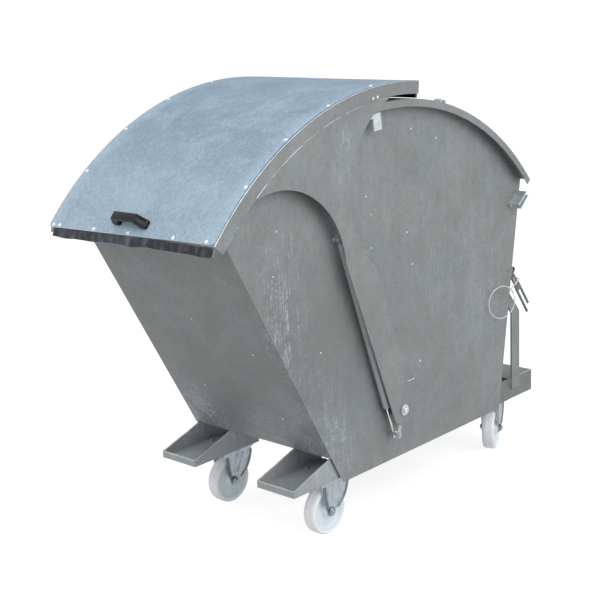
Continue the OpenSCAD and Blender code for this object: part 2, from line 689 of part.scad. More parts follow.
// A loop of steel wire outside the side plate, with a tail that comes out of the lever
loop_centre = [half_w + 11, 623, 222];
loop_turn = 7;
tail_at = 45;
tail_along = 45;               // from the latch pivot down the lever to the tail
tail_d = loop_wire + 2;
module rod_between(p, q, d) let (v = q - p)
    translate(p) rotate([0, acos(v[2] / norm(v)), atan2(v[1], v[0])]) cylinder(d = d, h = norm(v));
module pull_loop() color(bright) in_pivot_frame() {
    lever_point = [latch_x + lever_t / 2, latch_y + tail_along * sin(latch_lean), latch_rise - tail_along * cos(latch_lean)];
    elbow = [half_w + 8, lever_point[1], lever_point[2]];
    loop_point = loop_centre + loop_d / 2 * [cos(tail_at) * sin(loop_turn), cos(tail_at) * cos(loop_turn), sin(tail_at)];
    translate(loop_centre) rotate([0, 0, -loop_turn]) rotate([0, 90, 0])
        rotate_extrude($fn = 96) translate([loop_d / 2, 0]) circle(d = loop_wire, $fn = 24);
    rod_between(loop_point, elbow, tail_d);
    rod_between(lever_point, elbow + [tail_d / 2 + 1, 0, 0], tail_d + 2);
}

left_side_plate();
right_side_plate();
front_wall();
floor_plate();
rear_wall();
roof();
opening_rim();
lid_pivots();
strut_studs();
lid_stops();
roof_bracket();
left_front_console();
right_front_console();
left_rear_console();
right_rear_console();
rear_beam();
left_front_castor_plate();
right_front_castor_plate();
left_rear_castor_plate();
right_rear_castor_plate();
left_front_fork();
right_front_fork();
left_front_axle();
right_front_axle();
left_front_wheel();
right_front_wheel();
left_rear_fork();
right_rear_fork();
left_rear_axle();
right_rear_axle();
left_rear_wheel();
right_rear_wheel();
castor_bolts();
lid_cover();
left_lid_frame();
right_lid_frame();
front_rail();
rear_rail();
left_arm();
right_arm();
cover_rivets();
lid_handle();
handle_screws();
rubber_lip();
rear_seal();
stop_tabs();
tab_rivets();
upper_strut_studs();
left_strut_rod();
right_strut_rod();
left_strut_tube();
right_strut_tube();
tow_bow();
latch_bracket();
latch_pin();
latch_lever();
latch_spring();
pull_loop();
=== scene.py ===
"""Looks of a galvanised waste container on castors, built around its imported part.

Lengths are in metres, or in millimetres where a name ends in _mm, and angles are in
degrees. Angles about the lid's pivot axis count from the vertical and are positive
towards the front, which faces -Y. Each sub-assembly is a class that builds its own
pieces and dresses them.
"""

from __future__ import annotations

import logging
import math
from dataclasses import dataclass, field
from enum import Enum
from typing import Any, Iterable, Sequence

import bmesh
import bpy
from mathutils import Matrix, Vector, noise

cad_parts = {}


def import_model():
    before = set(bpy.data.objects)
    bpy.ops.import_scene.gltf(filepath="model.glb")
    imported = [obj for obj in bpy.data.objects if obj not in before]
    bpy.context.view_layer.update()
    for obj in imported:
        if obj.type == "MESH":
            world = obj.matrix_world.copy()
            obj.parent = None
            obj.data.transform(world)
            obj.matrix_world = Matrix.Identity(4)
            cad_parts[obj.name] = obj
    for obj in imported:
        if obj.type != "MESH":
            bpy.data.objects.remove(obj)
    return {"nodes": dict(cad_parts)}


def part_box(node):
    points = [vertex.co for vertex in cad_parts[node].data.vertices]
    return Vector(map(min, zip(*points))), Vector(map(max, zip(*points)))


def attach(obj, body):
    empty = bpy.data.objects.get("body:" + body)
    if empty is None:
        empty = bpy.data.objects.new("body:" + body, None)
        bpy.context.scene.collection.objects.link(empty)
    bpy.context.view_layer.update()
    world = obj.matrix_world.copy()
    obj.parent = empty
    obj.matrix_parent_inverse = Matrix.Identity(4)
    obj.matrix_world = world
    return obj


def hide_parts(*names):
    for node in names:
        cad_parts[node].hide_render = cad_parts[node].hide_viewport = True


LOG = logging.getLogger("container")
MM = 0.001
PIVOT = Vector((0.0, -0.01097, 0.371))
Point = tuple[float, float]
Triple = tuple[float, float, float]


class Side(Enum):
    """The two sides of the container, seen from the front."""

    LEFT = -1
    RIGHT = 1

    @property
    def word(self) -> str:
        """The side's name in node names."""
        return self.name.lower()

    @property
    def out(self) -> Vector:
        """The direction away from the middle on this side."""
        return Vector((self.value, 0, 0))


BOTH_SIDES = (Side.LEFT, Side.RIGHT)


# Colours and node graphs


def linear(colour: str) -> tuple[float, float, float, float]:
    """Turns an sRGB hex colour into linear values.

    Args:
        colour: Six hex digits after a hash sign.

    Returns:
        Linear red, green and blue, and an alpha of 1.
    """
    parts = [int(colour[i : i + 2], 16) / 255 for i in (1, 3, 5)]
    values = [p / 12.92 if p <= 0.04045 else ((p + 0.055) / 1.055) ** 2.4 for p in parts]
    return (values[0], values[1], values[2], 1.0)


def add_node(
    tree: bpy.types.NodeTree, kind: str, settings: dict | None = None, links: dict | None = None, out: Any = 0,
) -> Any:
    """Adds a node, sets it and links it.

    Args:
        tree: The node tree to add to.
        kind: The node type without its ShaderNode prefix.
        settings: Properties of the node, or values of its inputs by name or number.
        links: Sockets that feed its inputs, by input name or number.
        out: Name or number of the output to return.

    Returns:
        The chosen output socket, or None where the node has none.
    """
    node = tree.nodes.new("ShaderNode" + kind)
    for key, value in (settings or {}).items():
        if isinstance(key, str) and key not in node.inputs and hasattr(node, key):
            setattr(node, key, value)
        else:
            node.inputs[key].default_value = value
    for key, source in (links or {}).items():
        tree.links.new(source, node.inputs[key])
    return node.outputs[out] if len(node.outputs) else None


def in_view(tree: bpy.types.NodeTree) -> Any:
    """Tells rays that are seen from rays that only carry light.

    Args:
        tree: The node tree to add to.

    Returns:
        A socket that is 1 for camera, glossy and transmission rays and 0 for others.
    """
    share = add_node(tree, "LightPath", out="Is Camera Ray")
    path = tree.nodes[-1]
    for ray in ("Is Glossy Ray", "Is Transmission Ray"):
        share = add_node(tree, "Math", {"operation": "MAXIMUM"}, {0: share, 1: path.outputs[ray]})
    return share


@dataclass(frozen=True)
class Pattern:
    """An uneven pattern with a real size, such as clouds, runs or a grain.

    size_mm is the width of its features. A scale below 1 draws them out along that
    axis, shift moves the pattern, and lean turns it about the X axis.
    """

    size_mm: float
    detail: float = 4.0
    roughness: float = 0.6
    warp: float = 0.0
    scale: Triple = (1.0, 1.0, 1.0)
    shift: Triple = (0.0, 0.0, 0.0)
    lean: float = 0.0


@dataclass(frozen=True)
class Zone:
    """A patch of the surface inside an ellipsoid, measured from the pivot axis."""

    centre_mm: Triple
    half_mm: Triple
    strength: float


class Distance(Enum):
    """Distances in metres that a coat may follow, by the number of their axis."""

    FROM_MIDDLE = 0
    REARWARD = 1


Source = Pattern | Distance
Mask = Zone | tuple[Source, float, float]


@dataclass(frozen=True)
class Coat:
    """A colour that covers the ones before it where all its masks say so.

    A mask on a pattern or a distance is 0 at its first number and 1 at its second.
    """

    colour: str
    share: float
    masks: tuple[Mask, ...]


@dataclass(frozen=True)
class Relief:
    """A pattern that stands out of the surface by up to a height."""

    pattern: Pattern
    strength: float
    height_mm: float


class Graph:
    """A material's node tree, which turns patterns, coats and reliefs into nodes."""

    zone_edge: float = 1.0
    zone_core: float = 0.25

    def __init__(self, name: str) -> None:
        """Starts an empty material.

        Args:
            name: The material's name.
        """
        self.material = bpy.data.materials.new(name)
        self.material.use_nodes = True
        self.tree = self.material.node_tree
        self.tree.nodes.clear()
        self.place = self.add("TexCoord", out="Object")
        self.sockets: dict[Any, Any] = {}

    def add(self, kind: str, settings: dict | None = None, links: dict | None = None, out: Any = 0) -> Any:
        """Adds a node to this tree, as add_node does."""
        return add_node(self.tree, kind, settings, links, out)

    def value(self, source: Source) -> Any:
        """Gives the value of a pattern or a distance, whose nodes are added on first use.

        Args:
            source: The pattern or distance.

        Returns:
            The socket of its value.
        """
        if source in self.sockets:
            return self.sockets[source]
        if isinstance(source, Pattern):
            at = {"Location": source.shift, "Rotation": (math.radians(source.lean), 0.0, 0.0), "Scale": source.scale}
            noise_settings = {
                "Scale": 1 / (source.size_mm * MM), "Detail": source.detail,
                "Roughness": source.roughness, "Distortion": source.warp,
            }
            where = self.add("Mapping", at, {"Vector": self.place})
            socket = self.add("TexNoise", noise_settings, {"Vector": where})
        else:
            socket = self.add("SeparateXYZ", None, {0: self.place}, source.value)
            if source is Distance.FROM_MIDDLE:
                socket = self.add("Math", {"operation": "ABSOLUTE"}, {0: socket})
        self.sockets[source] = socket
        return socket

    def mask(self, mask: Mask) -> Any:
        """Gives a mask from 0 to 1, whose nodes are added on first use.

        Args:
            mask: A zone, or a pattern or distance with its two numbers.

        Returns:
            The mask's socket.
        """
        if mask in self.sockets:
            return self.sockets[mask]
        if isinstance(mask, Zone):
            scale = [1 / (half * MM) for half in mask.half_mm]
            middle = [c * MM + p for c, p in zip(mask.centre_mm, PIVOT)]
            at = {"Location": [-m * k for m, k in zip(middle, scale)], "Scale": scale}
            near = self.add("Mapping", at, {"Vector": self.place})
            value = self.add("VectorMath", {"operation": "LENGTH"}, {0: near}, "Value")
            low, high = self.zone_edge, self.zone_core
        else:
            source, low, high = mask
            value = self.value(source)
        socket = self.add("MapRange", {"From Min": low, "From Max": high}, {"Value": value})
        self.sockets[mask] = socket
        return socket

    def painted(self, base: str, coats: Iterable[Coat]) -> Any:
        """Lays coats over a base colour, one after the other.

        Args:
            base: The hex colour underneath.
            coats: The coats, the lowest first.

        Returns:
            The socket of the mixed colour.
        """
        colour = None
        for coat in coats:
            amount = self.mask(coat.masks[0])
            for mask in coat.masks[1:]:
                amount = self.add("Math", {"operation": "MULTIPLY"}, {0: amount, 1: self.mask(mask)})
            links = {0: self.add("Math", {"operation": "MULTIPLY", 1: coat.share}, {0: amount})}
            if colour is not None:
                links[6] = colour
            settings = {"data_type": "RGBA", 6: linear(base), 7: linear(coat.colour)}
            colour = self.add("Mix", settings, links, 2)
        return colour

    def close(
        self, colour: Any, roughness: tuple[Pattern, float, float], reliefs: Iterable[Relief], settings: dict,
    ) -> bpy.types.Material:
        """Closes the graph with a Principled shader.

        Args:
            colour: The socket of the base colour.
            roughness: A pattern, and the roughness at its lowest and at its highest.
            reliefs: The reliefs, the lowest first.
            settings: Values of the shader's other inputs.

        Returns:
            The finished material.
        """
        uneven, low, high = roughness
        rough = self.add("MapRange", {"To Min": low, "To Max": high}, {"Value": self.value(uneven)})
        links = {"Base Color": colour, "Roughness": rough}
        for relief in reliefs:
            below = {"Normal": links["Normal"]} if "Normal" in links else {}
            height = {"Strength": relief.strength, "Distance": relief.height_mm * MM}
            links["Normal"] = self.add("Bump", height, {"Height": self.value(relief.pattern), **below})
        shader = self.add("BsdfPrincipled", settings, links)
        self.add("OutputMaterial", None, {"Surface": shader})
        return self.material


# Finishes


@dataclass(frozen=True)
class HotDipZinc:
    """Steel sheet dipped in molten zinc and then weathered.

    Weathered zinc is a soft grey with faint clouds and upright runs, a fine grain,
    and brushed patches of pale streaks where waste and hands have rubbed it. Zones
    of painted shade darken it where less light falls. The grain is drawn a little
    coarser than it is, so that it shows.
    """

    name: str
    base: str = "#8c9090"
    warm: str = "#908f8b"
    cool: str = "#8a979f"
    pale: str = "#a3a8aa"
    dark: str = "#757877"
    fresh: str = "#cbd9e6"
    metallic: float = 0.25
    roughness: Point = (0.50, 0.68)
    hue_share: float = 0.4
    cloud_share: float = 0.26
    run_share: float = 0.3
    grain_share: float = 0.5
    cloud: Pattern = Pattern(190.0, 8.0, 0.62, 0.5)
    hue: Pattern = Pattern(120.0, 6.0, 0.68, 0.4, shift=(3.1, 1.7, 5.3))
    runs: Pattern = Pattern(26.0, 8.0, 0.72, 0.3, (1.0, 1.0, 0.09))
    fine_runs: Pattern = Pattern(5.0, 3.0, 0.7, 0.0, (1.0, 1.0, 0.09))
    grain: Pattern = Pattern(6.5, 4.0, 0.8)
    blotch: Pattern = Pattern(24.0, 7.0, 0.76, 0.3)
    strokes: Pattern = Pattern(6.0, 7.0, 0.8, 0.4, (1.0, 1.0, 0.055), lean=6.8755)
    breaks: Pattern = Pattern(10.0, 5.0, 0.78, 0.6)
    patches: Pattern = Pattern(60.0, 4.0, 0.66)
    streaks: tuple[Zone, ...] = ()
    # Zones of painted shade, where less light falls
    painted_shade: tuple[Zone, ...] = ()

    def build(self) -> bpy.types.Material:
        """Lays hues, clouds, runs, grain, painted shade and streaks over the base grey.

        Returns:
            The material.
        """
        rubbed = ((self.strokes, 0.46, 0.66), (self.breaks, 0.43, 0.57), (self.patches, 0.4, 0.54))
        coats = [
            Coat(self.warm, self.hue_share, ((self.hue, 0.5, 0.38),)),
            Coat(self.cool, self.hue_share, ((self.hue, 0.5, 0.64),)),
            Coat(self.dark, self.cloud_share, ((self.cloud, 0.52, 0.36),)),
            Coat(self.pale, self.cloud_share, ((self.cloud, 0.5, 0.66),)),
            Coat(self.pale, self.run_share, ((self.runs, 0.5, 0.66), (self.cloud, 0.38, 0.56))),
            Coat(self.dark, self.run_share * 0.7, ((self.runs, 0.45, 0.32),)),
            Coat(self.cool, self.run_share, ((self.fine_runs, 0.52, 0.66),)),
            Coat(self.dark, self.run_share * 0.5, ((self.fine_runs, 0.46, 0.34),)),
            Coat(self.dark, self.grain_share, ((self.blotch, 0.5, 0.34),)),
            Coat(self.pale, self.grain_share * 0.8, ((self.grain, 0.54, 0.72),)),
            Coat(self.dark, self.grain_share * 0.8, ((self.grain, 0.46, 0.3),)),
            # Painted shade: darker zones where less light falls
            *[Coat(self.dark, zone.strength, (zone,)) for zone in self.painted_shade],
            *[Coat(self.fresh, zone.strength, (*rubbed, zone)) for zone in self.streaks],
        ]
        g = Graph(self.name)
        reliefs = (Relief(self.grain, 0.3, 0.3), Relief(self.blotch, 0.4, 0.4))
        colour = g.painted(self.base, coats)
        return g.close(colour, (self.blotch, *self.roughness), reliefs, {"Metallic": self.metallic})


@dataclass(frozen=True)
class RolledZinc:
    """Thin galvanised sheet, rolled: grey zinc painted pale blue for the sky that it reflects, mottled and brushed
    along its arc.

    It is dull, with painted shade on top, and paler in front, where its brushed streaks carry painted light. It is
    paler along its sides, which end in a dark painted shadow line against the frame.
    """

    name: str
    # The blues are a painted reflection of the sky on grey zinc
    base: str = "#94a9bb"
    pale: str = "#bed4e5"
    dark: str = "#8295a8"
    # The painted shadow line where the cover's sides meet the frame
    line: str = "#474c52"
    specular: float = 0.12
    roughness: Point = (0.64, 0.84)
    half_mm: float = 355.5
    cloud: Pattern = Pattern(120.0, 8.0, 0.68, 0.4)
    mottle: Pattern = Pattern(9.0, 6.0, 0.76, 0.3)
    fine: Pattern = Pattern(3.2, 4.0, 0.75)
    strokes: Pattern = Pattern(5.0, 5.0, 0.72, 0.0, (1.0, 0.3, 0.3))

    def build(self) -> bpy.types.Material:
        """Lays clouds, mottle and brush strokes over the painted sky blue, then its pale sides, the painted shadow line
        at their edges, the painted shade on top and the painted light on its brushed front.

        Returns:
            The material.
        """
        # rim is the pale band along the sides; line is a painted shadow line at their very edge
        rim, line = (
            (Distance.FROM_MIDDLE, (self.half_mm - inner) * MM, (self.half_mm - outer) * MM)
            for inner, outer in ((60, 6), (2.2, 1.2))
        )
        # top is painted shade on the lid's upper part; front lays painted light in brushed strokes towards the front
        top, front = (Distance.REARWARD, -0.42, 0.0), (Distance.REARWARD, -0.50, -0.80)
        coats = [
            Coat(self.dark, 0.45, ((self.cloud, 0.52, 0.36),)),
            Coat(self.pale, 0.4, ((self.cloud, 0.5, 0.68),)),
            Coat(self.pale, 0.6, ((self.mottle, 0.48, 0.64), (self.cloud, 0.36, 0.56))),
            Coat(self.dark, 0.45, ((self.mottle, 0.48, 0.34),)),
            Coat(self.pale, 0.4, ((self.strokes, 0.52, 0.68),)),
            Coat(self.pale, 0.4, ((self.fine, 0.52, 0.68),)),
            Coat(self.dark, 0.4, ((self.fine, 0.48, 0.32),)),
            Coat(self.pale, 0.75, (rim, (self.mottle, 0.36, 0.56))),
            Coat(self.line, 0.85, (line,)),
            Coat(self.dark, 0.5, (top,)),
            Coat(self.pale, 0.75, (front, (self.strokes, 0.3, 0.62))),
        ]
        g = Graph(self.name)
        colour = g.painted(self.base, coats)
        settings = {"Metallic": 0.0, "Specular IOR Level": self.specular}
        return g.close(colour, (self.mottle, *self.roughness), (Relief(self.mottle, 0.35, 0.3),), settings)


@dataclass(frozen=True)
class PlatedZinc:
    """Electroplated zinc on pressed steel: bright, smooth and a little cloudy."""

    name: str
    base: str = "#aeb9bf"
    shade: str = "#848f95"
    speck: str = "#5c5f61"
    metallic: float = 0.75
    roughness: float = 0.36
    cloud: Pattern = Pattern(26.0, 5.0, 0.65)
    fine: Pattern = Pattern(2.4, 2.0)

    def build(self) -> bpy.types.Material:
        """Lays clouds and specks over the bright base.

        Returns:
            The material.
        """
        coats = [Coat(self.shade, 0.6, ((self.cloud, 0.48, 0.7),)), Coat(self.speck, 0.25, ((self.fine, 0.6, 0.75),))]
        g = Graph(self.name)
        colour = g.painted(self.base, coats)
        roughness = (self.cloud, self.roughness - 0.08, self.roughness + 0.16)
        return g.close(colour, roughness, (Relief(self.fine, 0.25, 0.3),), {"Metallic": self.metallic})


@dataclass(frozen=True)
class MouldedPlastic:
    """Moulded plastic or rubber with a fine grain and some dust, which on the rubber is also painted sheen.

    glow is a painted glow: it stands in for the light that pale nylon scatters inside itself, and it lifts the nylon
    out of shade. drawn below 1 draws the dust and sheen out into upright bands.
    """

    name: str
    base: str
    dust: str
    dust_share: float
    roughness: float
    grain_mm: float = 1.2
    relief_mm: float = 0.12
    glow: float = 0.0
    shine: float = 0.5
    drawn: float = 1.0

    def build(self) -> bpy.types.Material:
        """Lays dust over the base colour, which on the rubber is also painted sheen.

        Returns:
            The material.
        """
        grain = Pattern(self.grain_mm, 3.0)
        patch = Pattern(30.0, 6.0, 0.65, 0.0, (1.0, self.drawn, self.drawn))
        g = Graph(self.name)
        colour = g.painted(self.base, [Coat(self.dust, self.dust_share, ((patch, 0.46, 0.72),))])
        # A faint painted glow in the base colour, which lifts pale nylon out of shade
        settings = {
            "Emission Color": linear(self.base), "Emission Strength": self.glow, "Specular IOR Level": self.shine,
        }
        roughness = (patch, self.roughness - 0.08, self.roughness + 0.12)
        return g.close(colour, roughness, (Relief(grain, 0.5, self.relief_mm),), settings)


# Zones of painted shade: the front of the right side plate and the front wall, darker where less light falls
BODY_PAINTED_SHADE = (
    Zone((308.0, -440.0, 260.0), (90.0, 420.0, 420.0), 0.55),
    Zone((0.0, -480.0, 250.0), (340.0, 330.0, 420.0), 0.35),
)
BODY_STREAKS = (
    Zone((308.0, -500.0, 480.0), (60.0, 130.0, 260.0), 1.0),
    Zone((308.0, -440.0, 330.0), (60.0, 110.0, 140.0), 0.6),
    Zone((300.0, -370.0, 90.0), (130.0, 190.0, 230.0), 0.55),
    Zone((-290.0, -320.0, -30.0), (230.0, 150.0, 200.0), 2.4),
    Zone((60.0, -330.0, -40.0), (160.0, 120.0, 150.0), 1.0),
    Zone((240.0, -290.0, -60.0), (120.0, 140.0, 150.0), 2.2),
    Zone((354.0, -250.0, 850.0), (30.0, 75.0, 160.0), 0.75),
    Zone((300.0, -540.0, 300.0), (60.0, 120.0, 230.0), 0.8),
    Zone((308.0, 330.0, 420.0), (60.0, 330.0, 420.0), 0.3),
    Zone((308.0, 560.0, 250.0), (60.0, 120.0, 300.0), 0.5),
)


class Finish(Enum):
    """The finishes of the container, each with the record's slot that it belongs to."""

    # The body's sheet, rubbed pale in places and darkened towards the front by painted shade; the channels, paler as
    # painted light against the shade under the body; and the duller beam
    BODY = "galvanised_steel", HotDipZinc("hot dip zinc, body", streaks=BODY_STREAKS, painted_shade=BODY_PAINTED_SHADE)
    # The channels' zinc is paler than the body's as painted light, which lifts them out of the shade under the body
    CHANNEL = "galvanised_steel", HotDipZinc(
        "hot dip zinc, channels", "#a3a8a8", "#a6a5a1", "#a2afb8", "#c4cacc", "#8a8e8e", streaks=BODY_STREAKS)
    BEAM = "galvanised_steel", HotDipZinc("hot dip zinc, beam", "#7b7f7e", "#7f7e7a", "#78848b", "#959a9b", "#676a69")
    # The lid's cover: grey zinc painted pale blue for the sky that it reflects
    LID = "lid_sheet", RolledZinc("rolled zinc, lid")
    # Fittings: satin plate; bright welds and clips, whose finish also makes the painted highlights and glints on edges
    # and welds;
    # near-mirror nuts; and dull levers and springs, whose finish also makes the painted shade on the forks' folded
    # front edges
    PLATED = "bright_zinc", PlatedZinc("plated zinc")
    WELD = "bright_zinc", PlatedZinc("fresh zinc", "#d5dde0", "#a3abae", metallic=0.5, roughness=0.3)
    CHROME = "bright_zinc", PlatedZinc("polished zinc", "#8e9499", "#54585c", metallic=1.0, roughness=0.16)
    DULL_AND_SHADE = "bright_zinc", PlatedZinc("dull zinc and painted shade", "#6f7478", "#45494d", metallic=0.6, roughness=0.34)
    # Bare aluminium, matt grey paint lightened as painted light against the shade of the strut's recess, and polished
    # chrome
    RIVET = "aluminium_rivet", PlatedZinc("drawn aluminium", "#f2f5f6", "#cfd5d8", metallic=0.3, roughness=0.35)
    STRUT = "strut_paint", PlatedZinc("grey strut paint", "#b4babc", "#a2a8aa", metallic=0.05, roughness=0.65)
    ROD = "strut_chrome", PlatedZinc("hard chrome rod", "#d0cdc8", "#a9a5a0", metallic=1.0, roughness=0.14)
    # Waxy white tyres, and discs painted darker and bluer as the shade of their dish, both with a faint painted glow
    NYLON = "white_nylon", MouldedPlastic(
        "cast nylon", "#f6fafd", "#e4ecf1", 0.3, 0.38, grain_mm=2.5, relief_mm=0.01, glow=0.12)
    DISC = "white_nylon", MouldedPlastic(
        "cast nylon, disc", "#e4eef4", "#d0dde5", 0.35, 0.4, grain_mm=2.5, relief_mm=0.01, glow=0.09)
    # A glossy black grip, and rubber with blue-grey dust and upright bands of painted sheen
    HANDLE = "black_plastic", MouldedPlastic(
        "moulded polyamide", "#0c0d11", "#23262d", 0.25, 0.17, relief_mm=0.01, shine=0.3)
    RUBBER = "rubber", MouldedPlastic("sheet rubber", "#14161b", "#5f6b85", 0.75, 0.3, shine=0.4, drawn=0.3)

    def __init__(self, slot: str, recipe: Any) -> None:
        """Names the record's material slot and the description that builds the finish.

        Args:
            slot: The material slot.
            recipe: The description of the material.
        """
        self.slot = slot
        self.recipe = recipe

    @property
    def material(self) -> bpy.types.Material:
        """The finished material, which is built on first use."""
        return bpy.data.materials.get(self.recipe.name) or self.recipe.build()


# Meshes

NODES: dict[str, bpy.types.Object] = {}
MERGE_DISTANCE = 2e-5
NEARLY_FLAT = math.radians(0.6)
SHARP = math.radians(35)

# Angles in degrees from which an edge stays sharp, by how a piece is made
FOLDED = 24.0
PRESSED = 30.0
TURNED = 32.0
MOULDED = 40.0
WELDED = 50.0
CAST = 60.0


def placed(x: float, radius: float, angle: float) -> Vector:
    """Gives a point on a radius about the pivot axis.

    Args:
        x: Distance from the middle.
        radius: Distance from the pivot axis.
        angle: Angle from the vertical, positive to the front, in degrees.

    Returns:
        The point in the part's frame.
    """
    turn = math.radians(angle)
    return PIVOT + Vector((x, -radius * math.sin(turn), radius * math.cos(turn)))


def from_pivot(x: float, y: float, z: float) -> Vector:
    """Turns millimetres from the pivot axis into a point in the part's frame."""
    return PIVOT + Vector((x, y, z)) * MM


def mirrored(half: Sequence[Point]) -> list[Point]:
    """Gives the mirror image of half a profile, from its last point back to its first."""
    return [(radius, -along) for radius, along in reversed(half)]


def shifted(profile: Iterable[Point], radius: float, along: float) -> list[Point]:
    """Moves a profile, whose points are given from a corner of the piece."""
    return [(radius + r, along + h) for r, h in profile]


@dataclass(frozen=True)
class Sway:
    """An uneven wave along a line: its pace, where its pattern starts, and its height."""

    pace: float
    seed: Point
    height: float

    def at(self, place: float, down: float = 0.0) -> float:
        """Gives the wave at a place on the line, and at another one down from it."""
        return noise.noise(Vector((place * self.pace, self.seed[0], self.seed[1] + down))) * self.height


def smooth_by_angle(mesh: bmesh.types.BMesh, limit: float) -> None:
    """Smooths all faces but keeps the sharper edges.

    Args:
        mesh: The bmesh to change.
        limit: The angle in degrees from which an edge stays sharp.
    """
    for face in mesh.faces:
        face.smooth = True
    for edge in mesh.edges:
        edge.smooth = edge.calc_face_angle(math.pi) < math.radians(limit)


def to_piece(
    name: str, mesh: bmesh.types.BMesh, finish: Finish, body: str, nodes: Iterable[str] = (), limit: float = PRESSED,
) -> bpy.types.Object:
    """Turns a bmesh into a finished piece that rides on a body.

    Args:
        name: The piece's name.
        mesh: The bmesh, which is freed.
        finish: The finish that it takes.
        body: The CAD body that it moves with.
        nodes: CAD nodes that it stands for.
        limit: Edges sharper than this angle in degrees stay sharp.

    Returns:
        The new object.
    """
    bmesh.ops.remove_doubles(mesh, verts=mesh.verts, dist=1e-6)
    bmesh.ops.recalc_face_normals(mesh, faces=mesh.faces)
    smooth_by_angle(mesh, limit)
    data = bpy.data.meshes.new(name)
    mesh.to_mesh(data)
    mesh.free()
    piece = bpy.data.objects.new(name, data)
    bpy.context.collection.objects.link(piece)
    piece.data.materials.append(finish.material)
    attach(piece, body)
    if nodes:
        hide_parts(*nodes)
    LOG.info("piece %s: %d faces, rides on %s", name, len(data.polygons), body)
    return piece


def solidify(piece: bpy.types.Object, thickness: float, offset: float) -> None:
    """Gives a sheet its thickness.

    Args:
        piece: The sheet.
        thickness: The wall's thickness.
        offset: -1 for a wall under the faces, 1 for one over them.
    """
    wall = piece.modifiers.new("sheet thickness", "SOLIDIFY")
    wall.thickness = thickness
    wall.offset = offset


def soften(mesh: bmesh.types.BMesh, geometry: Sequence[Any], width: float, steps: int, affect: str = "EDGES") -> None:
    """Bevels edges or corners.

    Args:
        mesh: The bmesh to change.
        geometry: Its edges or vertices to bevel.
        width: How far the bevel reaches.
        steps: Number of steps across it.
        affect: EDGES or VERTICES.
    """
    bmesh.ops.bevel(
        mesh, geom=geometry, offset=width, offset_type="OFFSET", segments=steps, profile=0.5,
        affect=affect, clamp_overlap=True, material=-1,
    )


def polygon(mesh: bmesh.types.BMesh, points: Sequence[Vector]) -> bmesh.types.BMFace:
    """Adds one face through the points and returns it."""
    return mesh.faces.new([mesh.verts.new(p) for p in points])


def plate(mesh: bmesh.types.BMesh, outline: Sequence[Vector], depth: Vector) -> None:
    """Extrudes an outline into a solid plate.

    Args:
        mesh: The bmesh to add to.
        outline: The plate's corners.
        depth: Direction and distance of the extrusion.
    """
    face = polygon(mesh, outline)
    moved = bmesh.ops.extrude_face_region(mesh, geom=[face], use_keep_orig=True)["geom"]
    bmesh.ops.translate(mesh, verts=[v for v in moved if isinstance(v, bmesh.types.BMVert)], vec=depth)


def swept_bar(mesh: bmesh.types.BMesh, profile: Sequence[Point], start: float, stop: float, steps: int) -> None:
    """Sweeps a closed section about the pivot axis into a solid bar.

    Args:
        mesh: The bmesh to add to.
        profile: Corners of the section as (x, radius).
        start: First angle in degrees.
        stop: Last angle in degrees.
        steps: Number of steps along the sweep.
    """
    face = polygon(mesh, [placed(x, r, start) for x, r in profile])
    section = [face, *face.edges, *face.verts]
    first_end = [g for g in bmesh.ops.duplicate(mesh, geom=section)["geom"] if isinstance(g, bmesh.types.BMFace)]
    bmesh.ops.spin(
        mesh, geom=section, cent=PIVOT, axis=(1, 0, 0), angle=math.radians(stop - start), steps=steps,
        use_duplicate=False,
    )
    bmesh.ops.reverse_faces(mesh, faces=first_end)


def lathe(mesh: bmesh.types.BMesh, profile: Sequence[Point], centre: Vector, axis: Vector, steps: int) -> None:
    """Turns a profile into a closed solid of revolution.

    Args:
        mesh: The bmesh to add to.
        profile: Points as (radius, distance along the axis), an open line or a ring.
        centre: The point where the distance is 0.
        axis: The direction of the axis.
        steps: Number of steps round.
    """
    axis = axis.normalized()
    side = axis.orthogonal().normalized()
    verts = [mesh.verts.new(centre + side * r + axis * h) for r, h in profile]
    edges = [mesh.edges.new(pair) for pair in zip(verts, verts[1:])]
    bmesh.ops.spin(
        mesh, geom=[*verts, *edges], cent=centre, axis=axis, angle=2 * math.pi, steps=steps, use_merge=True,
    )


def skin(mesh: bmesh.types.BMesh, here: Sequence[bmesh.types.BMVert], beyond: Sequence[bmesh.types.BMVert]) -> None:
    """Joins two rows of vertices with faces.

    Args:
        mesh: The bmesh to add to.
        here: One row.
        beyond: The next row, with as many vertices.
    """
    for a, b, c, d in zip(here, here[1:], beyond[1:], beyond):
        mesh.faces.new((a, b, c, d))


def weld_bead(
    mesh: bmesh.types.BMesh, path: Sequence[Vector], away: Vector, width: float, unevenness: float = 0.5,
    sides: int = 5, lumps: float = 170.0,
) -> None:
    """Lays a half-round bead along a path, which runs out at both ends.

    Args:
        mesh: The bmesh to add to.
        path: Points along the middle of the bead's foot.
        away: The direction that the bead stands out in.
        width: Width of the bead, which is half as high.
        unevenness: Share by which the width goes up and down.
        sides: Number of sides of the half round.
        lumps: How many lumps of metal there are in a metre.
    """
    rings = []
    last = len(path) - 1
    for i, point in enumerate(path):
        ahead = (path[min(i + 1, last)] - path[max(i - 1, 0)]).normalized()
        across = ahead.cross(away).normalized()
        lump = 1 + unevenness * noise.noise(point * lumps)
        half = width / 2 * max(0.02, lump * min(1.0, min(i, last - i) / 2))
        turns = [math.pi * k / sides for k in range(sides + 1)]
        rings.append([mesh.verts.new(point + across * half * math.cos(t) + away * half * math.sin(t)) for t in turns])
    for here, beyond in zip(rings, rings[1:]):
        skin(mesh, here, beyond)


def straight_bead(
    mesh: bmesh.types.BMesh, start: Vector, stop: Vector, away: Vector, width: float, unevenness: float = 0.5,
) -> None:
    """Lays a bead along a straight line, with a ring about every 3 mm.

    Args:
        mesh: The bmesh to add to.
        start: Where the bead begins.
        stop: Where it ends.
        away: The direction that it stands out in.
        width: Width of the bead.
        unevenness: Share by which the width goes up and down.
    """
    steps = max(4, round((stop - start).length / (3 * MM)))
    path = [start.lerp(stop, i / steps) for i in range(steps + 1)]
    weld_bead(mesh, path, away.normalized(), width, unevenness)


